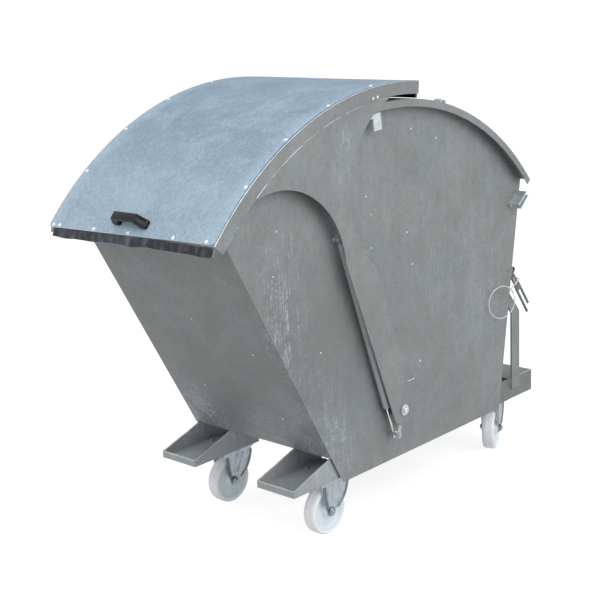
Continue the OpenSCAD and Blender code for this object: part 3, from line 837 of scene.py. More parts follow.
def wire(mesh: bmesh.types.BMesh, path: Sequence[Vector], radius: float, closed: bool = False, sides: int = 10) -> None:
    """Draws round wire along a path.

    Args:
        mesh: The bmesh to add to.
        path: Points along the middle of the wire.
        radius: Half the wire's thickness.
        closed: Whether the last point joins the first.
        sides: Number of sides of the wire's section.
    """
    count = len(path)
    rings = []
    across = None
    for i, point in enumerate(path):
        before = path[i - 1] if closed or i else point
        after = path[(i + 1) % count] if closed or i + 1 < count else point
        ahead = (after - before).normalized()
        across = (across - ahead * across.dot(ahead)).normalized() if across else ahead.orthogonal().normalized()
        up = ahead.cross(across)
        turns = [2 * math.pi * k / sides for k in range(sides)]
        rings.append([mesh.verts.new(point + (across * math.cos(t) + up * math.sin(t)) * radius) for t in turns])
    for here, beyond in [*zip(rings, rings[1:]), *([(rings[-1], rings[0])] if closed else [])]:
        skin(mesh, [*here, here[0]], [*beyond, beyond[0]])
    if not closed:
        mesh.faces.new(reversed(rings[0]))
        mesh.faces.new(rings[-1])


def rounded_path(corners: Sequence[Vector], radius: float, steps: int) -> list[Vector]:
    """Rounds the inner corners of a path in space.

    Args:
        corners: The path's corners.
        radius: How far from a corner its curve begins.
        steps: Number of steps in a curve.

    Returns:
        The rounded path.
    """
    line = [corners[0]]
    for before, corner, after in zip(corners, corners[1:], corners[2:]):
        back = min(radius, (before - corner).length / 2, (after - corner).length / 2)
        start = corner + (before - corner).normalized() * back
        stop = corner + (after - corner).normalized() * back
        for i in range(steps + 1):
            t = i / steps
            line.append(start.lerp(corner, t).lerp(corner.lerp(stop, t), t))
    line.append(corners[-1])
    return line


def folded_line(corners: Sequence[Point], radius: float) -> list[Point]:
    """Rounds the inner corners of a flat line, as a bend in sheet does.

    Args:
        corners: The line's corners.
        radius: The bend radius.

    Returns:
        The rounded line.
    """
    rounded = rounded_path([Vector((*corner, 0)) for corner in corners], radius, 3)
    return [(point.x, point.y) for point in rounded]


def merged_copy(node: str) -> bmesh.types.BMesh:
    """Copies a CAD node's mesh, with its triangles merged into whole faces.

    Args:
        node: The CAD node's name.

    Returns:
        The copy, to be freed by its user.
    """
    mesh = bmesh.new()
    mesh.from_mesh(NODES[node].data)
    bmesh.ops.remove_doubles(mesh, verts=mesh.verts, dist=MERGE_DISTANCE)
    bmesh.ops.dissolve_limit(mesh, angle_limit=NEARLY_FLAT, verts=mesh.verts, edges=mesh.edges)
    return mesh


def eased(node: str, finish: Finish, body: str, width_mm: float) -> None:
    """Builds a copy of a CAD node with its edges broken, and shows that instead.

    Args:
        node: The CAD node to copy.
        finish: The finish of the piece.
        body: The body that the node is in.
        width_mm: Width of the broken edges.
    """
    mesh = merged_copy(node)
    sharp = [e for e in mesh.edges if e.is_manifold and e.calc_face_angle(0.0) > SHARP]
    soften(mesh, sharp, width_mm * MM, 1)
    to_piece(f"{node}_piece", mesh, finish, body, [node])


@dataclass
class EdgeHighlights:
    """A thin bright line along the long cut edges of CAD nodes that look up or ahead.

    A painted highlight: the edges chosen look up or ahead, where they catch the lamps' light.
    An edge that looks down, or rearwards and not up, gets no line, and so does one that runs right across the
    container.
    """

    name: str
    nodes: Sequence[str]
    body: str = "container"
    finish: Finish = Finish.WELD
    radius: float = 0.0009
    shortest: float = 0.09
    across: float = 0.5
    least_up: float = 0.25
    least_ahead: float = -0.25
    spacing: float = 0.012
    sink: float = 0.45
    unevenness: float = 0.8
    lumps: float = 31.0

    def build(self) -> None:
        """Lays the lines and makes them one piece."""
        lines = bmesh.new()
        for node in self.nodes:
            mesh = merged_copy(node)
            for edge in mesh.edges:
                if self._catches_light(edge):
                    self._line(lines, edge)
            mesh.free()
        to_piece(self.name, lines, self.finish, self.body, (), WELDED)

    def _catches_light(self, edge: bmesh.types.BMEdge) -> bool:
        """Says whether an edge gets a line.

        Args:
            edge: The edge.

        Returns:
            True where it is long, sharp, stands out and looks up or ahead.
        """
        if not edge.is_manifold or edge.calc_length() < self.shortest or edge.calc_face_angle_signed(0.0) < SHARP:
            return False
        out = self._outwards(edge)
        start, stop = (vert.co for vert in edge.verts)
        return (out.z >= self.least_up or out.y <= self.least_ahead) and abs(stop.x - start.x) <= self.across

    @staticmethod
    def _outwards(edge: bmesh.types.BMEdge) -> Vector:
        """Gives the direction that an edge looks in, between its two faces."""
        return (edge.link_faces[0].normal + edge.link_faces[1].normal).normalized()

    def _line(self, lines: bmesh.types.BMesh, edge: bmesh.types.BMEdge) -> None:
        """Lays a line along an edge, half sunk and more or less so as it goes.

        Args:
            lines: The bmesh to add to.
            edge: The edge.
        """
        out = self._outwards(edge)
        start, stop = (vert.co.copy() for vert in edge.verts)
        steps = max(2, round((stop - start).length / self.spacing))
        path = []
        for i in range(steps + 1):
            point = start.lerp(stop, i / steps)
            depth = self.sink + self.unevenness * noise.noise(point * self.lumps)
            path.append(point - out * (self.radius * depth))
        wire(lines, path, self.radius, sides=6)


# Sub-assemblies


@dataclass(frozen=True)
class Lamp:
    """A square soft box: its name, place, width and power in watts."""

    name: str
    place: Triple
    size: float
    power: float


@dataclass
class Studio:
    """Floor, light and camera."""

    camera_place: Vector = field(default_factory=lambda: Vector((2.7794, -3.08197, 1.7205)))
    azimuth: float = 43.007
    pitch: float = 13.952
    roll: float = -2.489
    lens_mm: float = 76.19
    sensor_mm: float = 36.0
    floor_size: float = 200.0
    floor_colour: str = "#b4b4b4"
    floor_glow: float = 0.8
    fill: float = 0.56
    aim_height: float = 0.7
    lamps: tuple[Lamp, ...] = (
        Lamp("key light", (4.4, 0.1, 3.0), 4.0, 112.0),
        Lamp("front light", (-0.7, -4.1, 4.3), 3.0, 70.0),
        Lamp("back light", (-2.6, 3.0, 3.6), 2.6, 25.0),
    )

    def build(self) -> None:
        """Builds the camera, the floor, the surroundings and the lamps."""
        self._camera()
        self._floor()
        self._surroundings()
        self._lamps()

    def _camera(self) -> None:
        """Places the camera and makes it the scene's own."""
        turn, tilt, roll = (math.radians(a) for a in (self.azimuth, self.pitch, self.roll))
        ahead = Vector((-math.sin(turn) * math.cos(tilt), math.cos(turn) * math.cos(tilt), -math.sin(tilt)))
        right = ahead.cross(Vector((0, 0, 1))).normalized()
        over = right.cross(ahead)
        right, over = right * math.cos(roll) + over * math.sin(roll), over * math.cos(roll) - right * math.sin(roll)
        data = bpy.data.cameras.new("camera")
        data.lens = self.lens_mm
        data.sensor_width = self.sensor_mm
        camera = bpy.data.objects.new("camera", data)
        view = Matrix((right, over, -ahead)).transposed().to_4x4()
        camera.matrix_world = Matrix.Translation(self.camera_place) @ view
        bpy.context.collection.objects.link(camera)
        bpy.context.scene.camera = camera

    def _floor(self) -> None:
        """Lays a wide floor that keeps the shadow and is white in view."""
        mesh = bmesh.new()
        bmesh.ops.create_grid(mesh, x_segments=1, y_segments=1, size=self.floor_size)
        data = bpy.data.meshes.new("floor")
        mesh.to_mesh(data)
        mesh.free()
        floor = bpy.data.objects.new("floor", data)
        bpy.context.collection.objects.link(floor)
        g = Graph("white floor")
        matte = g.add("BsdfDiffuse", {"Color": linear(self.floor_colour)})
        strength = g.add("Math", {"operation": "MULTIPLY", 1: self.floor_glow}, {0: in_view(g.tree)})
        glow = g.add("Emission", {"Color": linear("#ffffff")}, {"Strength": strength})
        g.add("OutputMaterial", None, {"Surface": g.add("AddShader", None, {0: matte, 1: glow})})
        data.materials.append(g.material)

    def _surroundings(self) -> None:
        """Makes a world that lights the object plainly and is white in view."""
        world = bpy.data.worlds.new("white studio")
        bpy.context.scene.world = world
        world.use_nodes = True
        tree = world.node_tree
        tree.nodes.clear()
        strength = add_node(tree, "MapRange", {"To Min": self.fill, "To Max": 1.0}, {"Value": in_view(tree)})
        sky = add_node(tree, "Background", {"Color": linear("#ffffff")}, {"Strength": strength})
        add_node(tree, "OutputWorld", None, {"Surface": sky})

    def _lamps(self) -> None:
        """Hangs soft boxes on the right, in front and behind, which face the object."""
        for lamp in self.lamps:
            data = bpy.data.lights.new(lamp.name, "AREA")
            data.size = lamp.size
            data.energy = lamp.power
            light = bpy.data.objects.new(lamp.name, data)
            light.location = lamp.place
            aim = Vector((0, 0, self.aim_height)) - Vector(lamp.place)
            light.rotation_euler = aim.to_track_quat("-Z", "Y").to_euler()
            bpy.context.collection.objects.link(light)


@dataclass
class BodyShell:
    """Side plates, walls, floor and fixed roof."""

    side_half_mm: float = 308.0
    roof_radius: float = 0.995
    roof_half: float = 0.349
    roof_front: float = 10.0
    roof_rear: float = -49.5
    roof_steps: int = 62
    lip_depth: float = 0.024
    sheet: float = 0.002
    bend: float = 0.004
    front_out: Triple = (0, -0.88, -0.475)
    drop_radius_mm: float = 2.3
    drop_spread_mm: float = 1.0
    drop_lumps: float = 37.0
    drop_sides: int = 9
    drop_profile: tuple[Point, ...] = ((1.0, 0.4), (0.6, 0.75), (0.0, 0.9))
    drop_root: Point = (1.3, -0.0003)
    right_drops: tuple[Point, ...] = (
        (126, 892), (257, 848), (-105, 709), (-83, 650), (95, 564), (-508, 669), (-114, 537), (120, 455),
        (-339, 267), (-530, 540), (-86, 545), (150, 120), (-236, 812),
    )
    left_drops: tuple[Point, ...] = (
        (140, 800), (300, 610), (-20, 480), (210, 330), (-380, 560), (-250, 210), (420, 120), (60, 20),
    )
    front_drops: tuple[Triple, ...] = (
        (185.8, -506.6, 281.2), (171.3, -375.9, 39.6), (-22.0, -556.2, 373.1), (-140.0, -410.0, 102.6),
    )
    bead_ends: tuple[Point, Point] = ((67, 66), (121, 68))
    bead_width: float = 0.0024
    pin_face_mm: float = 364.4
    pin_end: tuple[Point, ...] = ((0.0108, -0.0004), (0.0108, 0.0004), (0.009, 0.0021), (0.0055, 0.0032), (0.0, 0.0036))
    nut_foot_mm: float = 357.7
    nut_steps: int = 24
    nut_limit: float = 35.0
    nut: tuple[Point, ...] = (
        (0.0185, -0.001), (0.0185, 0.0006), (0.0178, 0.0012), (0.0142, 0.0012), (0.0142, 0.0046), (0.0132, 0.0052),
        (0.0, 0.0052),
    )

    def build(self) -> None:
        """Builds the shell's pieces."""
        plates = ("left_side_plate", "right_side_plate")
        for node in (*plates, "front_wall", "rear_wall", "floor_plate", "opening_rim"):
            eased(node, Finish.BODY, "container", 0.5)
        # Painted highlights along the side plates' long edges that face the light
        EdgeHighlights("plate_edges", plates, finish=Finish.CHANNEL, radius=0.0008, shortest=0.3).build()
        self._roof()
        eased("lid_stops", Finish.WELD, "container", 0.6)
        eased("roof_bracket", Finish.WELD, "container", 0.6)
        eased("lid_pivots", Finish.DULL_AND_SHADE, "container", 0.8)
        self._droplets()
        self._nuts()

    def _roof(self) -> None:
        """Rolls the roof with its turned-down lips."""
        faces = []
        for inwards in (0.0, self.sheet):
            half, top = self.roof_half - inwards, self.roof_radius - inwards
            low = self.roof_radius - self.lip_depth
            faces.append(folded_line([(-half, low), (-half, top), (half, top), (half, low)], self.bend - inwards))
        outer, inner = faces
        mesh = bmesh.new()
        swept_bar(mesh, [*outer, *reversed(inner)], self.roof_rear, self.roof_front, self.roof_steps)
        to_piece("roof_sheet", mesh, Finish.BODY, "container", ["roof"], FOLDED)

    def _droplets(self) -> None:
        """Adds frozen drops of zinc, and one short bead, on the plates."""
        mesh = bmesh.new()
        spots = [
            (side.out, from_pivot(side.value * self.side_half_mm, y, z))
            for side, drops in ((Side.RIGHT, self.right_drops), (Side.LEFT, self.left_drops)) for y, z in drops
        ]
        spots += [(Vector(self.front_out), from_pivot(*drop)) for drop in self.front_drops]
        width, depth = self.drop_root
        for away, seat in spots:
            r = (self.drop_radius_mm + self.drop_spread_mm * noise.noise(seat * self.drop_lumps)) * MM
            profile = [(r * width, depth), *[(r * a, r * b) for a, b in self.drop_profile]]
            lathe(mesh, profile, seat, away, self.drop_sides)
        start, stop = (from_pivot(self.side_half_mm, y, z) for y, z in self.bead_ends)
        straight_bead(mesh, start, stop, Side.RIGHT.out, self.bead_width)
        to_piece("zinc_droplets", mesh, Finish.RIVET, "container", (), CAST)

    def _nuts(self) -> None:
        """Turns the nuts and domed pin ends of the lid's pivots."""
        mesh = bmesh.new()
        for side in BOTH_SIDES:
            lathe(mesh, self.pin_end, from_pivot(side.value * self.pin_face_mm, 0, 0), side.out, self.nut_steps)
            lathe(mesh, self.nut, from_pivot(side.value * self.nut_foot_mm, 0, 0), side.out, self.nut_steps)
        to_piece("pivot_nuts", mesh, Finish.WELD, "container", (), self.nut_limit)


@dataclass
class LidShell:
    """The lid's cover, frames, arms, rivets, welds and rubber."""

    half: float = 0.3585
    arm_face: float = 0.3545
    radius: float = 1.05
    front: float = 49.6
    rear: float = -5.9
    sweep_steps: int = 60
    cover: float = 0.0015
    cover_inset: float = 0.003
    cover_cells: int = 40
    cover_corner: float = 0.013
    front_past: float = 0.2
    skew: float = 1.4
    rear_past: float = 0.6
    flat_rim: float = 0.06
    swells: tuple[Point, ...] = ((4.2, 0.0016), (9.0, 0.0006))
    deepest_dent: float = -0.0008
    hem_half: float = 0.338
    hem_points: int = 41
    hem_radius: float = 0.0009
    hem_seat: Point = (0.0008, 0.01)
    frame_depth: float = 0.04
    frame_thick: float = 0.004
    frame_bevel: float = 0.0008
    # Section and end inset of the painted highlight strip on the frames' upper edges
    highlight_edge: tuple[Point, ...] = ((0.0002, -0.0010), (-0.0001, 0.0001), (-0.0022, 0.0003), (-0.0022, -0.0010))
    highlight_inset: float = 0.1
    rivet_inset: float = 0.0145
    rivet_pitch: float = 10.9
    rivet_rows: int = 4
    front_rivet_back: float = 0.42
    front_rivets: tuple[float, ...] = (-0.310, -0.150, 0.002, 0.189, 0.320, -0.338)
    rivet_dome: tuple[Point, ...] = (
        (0.0066, -0.0002), (0.0066, 0.0006), (0.0056, 0.0012), (0.0046, 0.0016), (0.0042, 0.0026), (0.0026, 0.0034),
        (0.0, 0.0037),
    )
    lip_left: float = -0.323
    lip_right: float = 0.3535
    lip_length: float = 0.0258
    lip_thick: float = 0.0032
    lip_lean: float = 9.0
    lip_off: float = 0.003
    lip_cells: tuple[int, int] = (150, 12)
    lip_seat: Point = (-0.0022, 0.12)
    lip_wave: Point = (52.0, 0.0046)
    lip_phase: Sway = Sway(5.0, (0.0, 9.0), 3.4)
    lip_swell: Sway = Sway(9.0, (3.1, 0.0), 0.003)
    lip_ripple: Sway = Sway(40.0, (7.7, 0.0), 0.0018)
    lip_hem: Sway = Sway(14.0, (1.3, 4.0), 0.005)
    lip_bulge: float = 1.4
    lip_hollow: float = -0.0014
    flap_half: float = 0.3495
    flap_low: float = 0.9972
    flap_gap: float = 0.0008
    flap_angles: Point = (-0.22, 0.28)
    seam_radius: float = 1.007
    seam_sway: Sway = Sway(1.0, (0.0, 0.0), 0.0008)
    seam_unevenness: float = 0.7
    # Runs of bright weld bead, laid where the seam shows glints: partly painted highlights
    seams: tuple[Triple, ...] = (
        (48.8, 45.6, 1.4), (44.8, 44.2, 3.6), (41.2, 40.8, 3.6), (38.9, 35.2, 3.8), (35.2, 31.4, 1.3),
        (31.4, 25.3, 3.4), (25.3, 20.8, 1.3), (20.2, 14.9, 2.2), (14.2, 8.9, 1.8), (5.6, 2.3, 2.2),
    )

    def build(self) -> None:
        """Builds the lid's pieces."""
        self._cover()
        self._edge_highlight()
        self._frames()
        self._rivets()
        self._lip()
        self._seams()
        arms, rails = ("left_arm", "right_arm"), ("front_rail", "rear_rail")
        for node in arms:
            eased(node, Finish.BODY, "lid", 0.6)
        # Painted highlights along the arms' edges that face the light
        EdgeHighlights("arm_edges", arms, "lid", Finish.CHANNEL, 0.0008, 0.12).build()
        for node in rails:
            eased(node, Finish.BODY, "lid", 0.6)
        eased("stop_tabs", Finish.WELD, "lid", 0.5)
        eased("tab_rivets", Finish.RIVET, "lid", 1.0)
        eased("strut_studs", Finish.PLATED, "lid", 0.5)
        self._seal()

    def front_at(self, x: float) -> float:
        """Gives the angle of the cover's front edge, which was cut a little askew."""
        return self.front + self.front_past - self.skew * x

    def _cover(self) -> None:
        """Rolls the cover sheet, with its ends askew and the shallow waves of thin sheet."""
        mesh = bmesh.new()
        half, cells = self.half - self.cover_inset, self.cover_cells
        edge_x = [-half + 2 * half * i / cells for i in range(cells + 1)]
        verts = [mesh.verts.new(placed(x, self.radius + self.cover, self.rear)) for x in edge_x]
        edges = [mesh.edges.new(pair) for pair in zip(verts, verts[1:])]
        bmesh.ops.spin(
            mesh, geom=[*verts, *edges], cent=PIVOT, axis=(1, 0, 0), angle=math.radians(self.front - self.rear),
            steps=self.sweep_steps,
        )
        for vert in mesh.verts:
            vert.co = self._waved(vert.co, half)
        mesh.verts.ensure_lookup_table()
        soften(mesh, [v for v in mesh.verts if len(v.link_edges) == 2], self.cover_corner, 4, "VERTICES")
        solidify(to_piece("cover_sheet", mesh, Finish.LID, "lid", ["lid_cover"], MOULDED), self.cover, -1.0)

    def _waved(self, point: Vector, half: float) -> Vector:
        """Moves a point of the plain cover to where it lies on the real one.

        Args:
            point: The point.
            half: Half the cover's width.

        Returns:
            The point with its end's skew and the sheet's waves.
        """
        along = Vector((point.y - PIVOT.y, point.z - PIVOT.z))
        angle = math.degrees(math.atan2(-along.x, along.y))
        share = (angle - self.rear) / (self.front - self.rear)
        askew = share * (self.front_at(point.x) - self.front) - (1 - share) * self.rear_past
        moved = placed(point.x, along.length, angle + askew)
        out = Vector((0, moved.y - PIVOT.y, moved.z - PIVOT.z)).normalized()
        rim = min(1.0, (half - abs(moved.x)) / self.flat_rim)
        swell = sum(noise.noise(moved * per_metre) * height for per_metre, height in self.swells)
        return moved + out * max(swell * rim, self.deepest_dent)

    def _edge_highlight(self) -> None:
        """Draws a bright wire along the cover's front edge: a painted highlight where the cut edge catches the light.
        """
        mesh = bmesh.new()
        step = 2 * self.hem_half / (self.hem_points - 1)
        places = [-self.hem_half + step * i for i in range(self.hem_points)]
        above, past = self.hem_seat
        path = [placed(x, self.radius + above, self.front_at(x) + past) for x in places]
        wire(mesh, path, self.hem_radius, sides=8)
        to_piece("cover_edge_highlight", mesh, Finish.WELD, "lid", (), WELDED)

    def _frames(self) -> None:
        """Rolls the two curved angles under the cover's sides, with a painted highlight strip along their upper edges,
        where the sky lights them.
        """
        top, low, bevel = self.radius, self.radius - self.frame_depth, self.frame_bevel
        under, wall, leg = top - self.frame_thick, self.half - self.frame_thick, self.half - self.frame_depth
        section = [
            (self.half, low), (self.half, top - bevel), (self.half - bevel, top), (leg, top), (leg, under),
            (wall, under), (wall, low),
        ]
        start, stop = self.rear + self.highlight_inset, self.front - self.highlight_inset
        edge = bmesh.new()
        for side in BOTH_SIDES:
            mesh = bmesh.new()
            swept_bar(mesh, [(side.value * x, r) for x, r in section], self.rear, self.front, self.sweep_steps)
            to_piece(f"{side.word}_frame_bar", mesh, Finish.BODY, "lid", [f"{side.word}_lid_frame"], FOLDED)
            line = [(side.value * x, r) for x, r in shifted(self.highlight_edge, self.half, top)]
            swept_bar(edge, line, start, stop, self.sweep_steps)
        to_piece("frame_edges", edge, Finish.WELD, "lid", (), FOLDED)

    def _rivets(self) -> None:
        """Sets the domed rivets along the cover's edges."""
        across = self.half - self.rivet_inset
        rows = range(1, self.rivet_rows + 1)
        places = [(side.value * across, self.front - i * self.rivet_pitch) for i in rows for side in BOTH_SIDES]
        places += [(x, self.front_at(x) - self.front_rivet_back) for x in self.front_rivets]
        mesh = bmesh.new()
        for x, angle in places:
            lathe(mesh, self.rivet_dome, placed(x, self.radius + self.cover, angle), placed(0, 1, angle) - PIVOT, 16)
        to_piece("cover_rivet_heads", mesh, Finish.RIVET, "lid", ["cover_rivets"], MOULDED)

    def _lip(self) -> None:
        """Hangs the rubber lip, which waves between its rivets and has an uneven lower edge."""
        lean = math.radians(self.lip_lean)
        down = Vector((0, -math.sin(lean), -math.cos(lean)))
        out = Vector((0, -math.cos(lean), math.sin(lean)))
        above, past = self.lip_seat
        columns, rows = self.lip_cells
        mesh = bmesh.new()
        bmesh.ops.create_grid(mesh, x_segments=columns, y_segments=rows, size=0.5)
        for vert in mesh.verts:
            x, t = self.lip_left + (vert.co.x + 0.5) * (self.lip_right - self.lip_left), 0.5 - vert.co.y
            top = placed(x, self.radius + above, max(self.front_at(x), self.front) + past)
            length = self.lip_length + self.lip_hem.at(x)
            vert.co = top + down * length * t + out * (self._bulge(x, t) + self.lip_off + self.lip_off * t)
        solidify(to_piece("rubber_strip", mesh, Finish.RUBBER, "lid", ["rubber_lip"], CAST), self.lip_thick, 1.0)

    def _bulge(self, x: float, t: float) -> float:
        """Gives how far the rubber lip stands out of its plane.

        Args:
            x: Distance from the middle of the lid.
            t: Share of the way down the lip.

        Returns:
            The distance, which grows from none at the top.
        """
        pace, height = self.lip_wave
        wave = math.sin(x * pace + self.lip_phase.at(x)) * height
        wave += self.lip_swell.at(x) + self.lip_ripple.at(x, t * 2.0)
        return max(wave * self.lip_bulge, self.lip_hollow) * t * (1.2 - 0.4 * t)

    def _seal(self) -> None:
        """Hangs the rubber flap that closes the gap behind the rear rail."""
        half, low, high = self.flap_half, self.flap_low, self.radius - self.frame_thick - self.flap_gap
        start, stop = (self.rear + angle for angle in self.flap_angles)
        mesh = bmesh.new()
        swept_bar(mesh, [(-half, low), (half, low), (half, high), (-half, high)], start, stop, 2)
        to_piece("rear_flap", mesh, Finish.RUBBER, "lid", ["rear_seal"], MOULDED)

    def _seams(self) -> None:
        """Welds the arms to the frames in uneven, broken runs of bright bead: weld beads whose bright finish and broken
        runs are partly painted glints.
        """
        mesh = bmesh.new()
        for side in BOTH_SIDES:
            for start, stop, width_mm in self.seams:
                steps = max(4, round((start - stop) * 5))
                path = []
                for angle in (start + (stop - start) * i / steps for i in range(steps + 1)):
                    radius = self.seam_radius + self.seam_sway.at(angle)
                    path.append(placed(side.value * self.arm_face, radius, angle))
                weld_bead(mesh, path, side.out, width_mm * MM, self.seam_unevenness)
        to_piece("arm_welds_and_glints", mesh, Finish.WELD, "lid", (), WELDED)


@dataclass
class LidHandle:
    """The moulded bridge handle, with a pocket in each sloping leg."""

    length: float = 0.144
    height: float = 0.0405
    width: float = 0.027
    angle: float = 47.7
    shift: float = -0.001
    base: float = 1.0515
    foot: float = 0.030
    foot_height: float = 0.012
    side_height: float = 0.009
    slope: float = 0.022
    opening: float = 0.042
    grip_depth: float = 0.013
    rounding: float = 0.0032
    pocket_rim: float = 0.0028
    pocket_draft: float = 0.0004
    pocket_depth: float = 0.0065
    least_edge: float = 20.0
    least_leg: float = 3e-4

    def build(self) -> None:
        """Builds the handle with soft edges."""
        half, under = self.length / 2, self.height - self.grip_depth
        right = [
            (half - self.slope, self.height), (half, self.side_height), (half, 0.0), (half - self.foot, 0.0),
            (half - self.foot, self.foot_height), (half - self.opening, under),
        ]
        left = [(-x, h) for x, h in reversed(right)]
        outline = [*left[3:], *right, *left[:3]]
        out = (placed(0, 1, self.angle) - PIVOT).normalized()
        along = Vector((0, out.z, -out.y))
        start = placed(self.shift, self.base, self.angle) - along * self.width / 2
        mesh = bmesh.new()
        plate(mesh, [start + Vector((x, 0, 0)) + out * h for x, h in outline], along * self.width)
        bmesh.ops.recalc_face_normals(mesh, faces=mesh.faces)
        edges = [e for e in mesh.edges if e.calc_face_angle(0.0) > math.radians(self.least_edge)]
        soften(mesh, edges, self.rounding, 3)
        slopes = [f for f in mesh.faces if abs(f.normal.x) > 0.6 and f.normal.dot(out) > 0.3]
        legs = [f for f in slopes if f.calc_area() > self.least_leg]
        bmesh.ops.inset_individual(mesh, faces=legs, thickness=self.pocket_rim, depth=0.0)
        bmesh.ops.inset_individual(mesh, faces=legs, thickness=self.pocket_draft, depth=-self.pocket_depth)
        to_piece("grip", mesh, Finish.HANDLE, "lid", ["lid_handle"], MOULDED)


@dataclass
class Underframe:
    """Fork channels, the rear beam and the tow bow."""

    bow_face_mm: float = 303.5
    bow_span_mm: Point = (694.0, 744.0)
    foot_span_mm: Point = (-124.0, -85.0)
    upper_weld: float = 0.007
    lower_weld: float = 0.006
    upright_weld: float = 0.005
    cheek_face_mm: float = 299.2
    cheek_mm: tuple[Point, ...] = ((602, -163.5), (691.8, -163.5), (691.8, -85.5), (602, -85.5))
    cheek_thick: float = 0.0043

    def build(self) -> None:
        """Builds the channels, the beam and the bow with broken edges and welds."""
        channels = [f"{side.word}_{end}_console" for side in BOTH_SIDES for end in ("front", "rear")]
        for node in channels:
            eased(node, Finish.CHANNEL, "container", 0.9)
        # Painted highlights along the channels' and the beam's edges that face the light
        EdgeHighlights("channel_edges", channels).build()
        EdgeHighlights("beam_edges", ("rear_beam",)).build()
        eased("rear_beam", Finish.BEAM, "container", 2.4)
        eased("tow_bow", Finish.BODY, "container", 1.2)
        self._welds()
        self._cheeks()

    def _welds(self) -> None:
        """Lays a bead round each of the bow's feet."""
        mesh = bmesh.new()
        (front, rear), (low, high) = self.bow_span_mm, self.foot_span_mm
        for side in BOTH_SIDES:
            s = side.value
            for (y1, z1), (y2, z2), away, width in (
                ((front, high), (rear, high), (-s, 0, 1), self.upper_weld),
                ((front, low), (rear, low), (s, 0, -1), self.lower_weld),
                ((front, low), (front, high), (s, -1, 0), self.upright_weld),
                ((rear, low), (rear, high), (s, 1, 0), self.upright_weld),
            ):
                start, stop = (from_pivot(s * self.bow_face_mm, y, z) for y, z in ((y1, z1), (y2, z2)))
                straight_bead(mesh, start, stop, Vector(away), width)
        to_piece("bow_welds", mesh, Finish.BODY, "container", (), WELDED)

    def _cheeks(self) -> None:
        """Closes the beam's ends with flat plates."""
        mesh = bmesh.new()
        for side in BOTH_SIDES:
            corners = [from_pivot(side.value * self.cheek_face_mm, y, z) for y, z in self.cheek_mm]
            plate(mesh, corners, side.out * self.cheek_thick)
        to_piece("beam_cheeks", mesh, Finish.BEAM, "container")


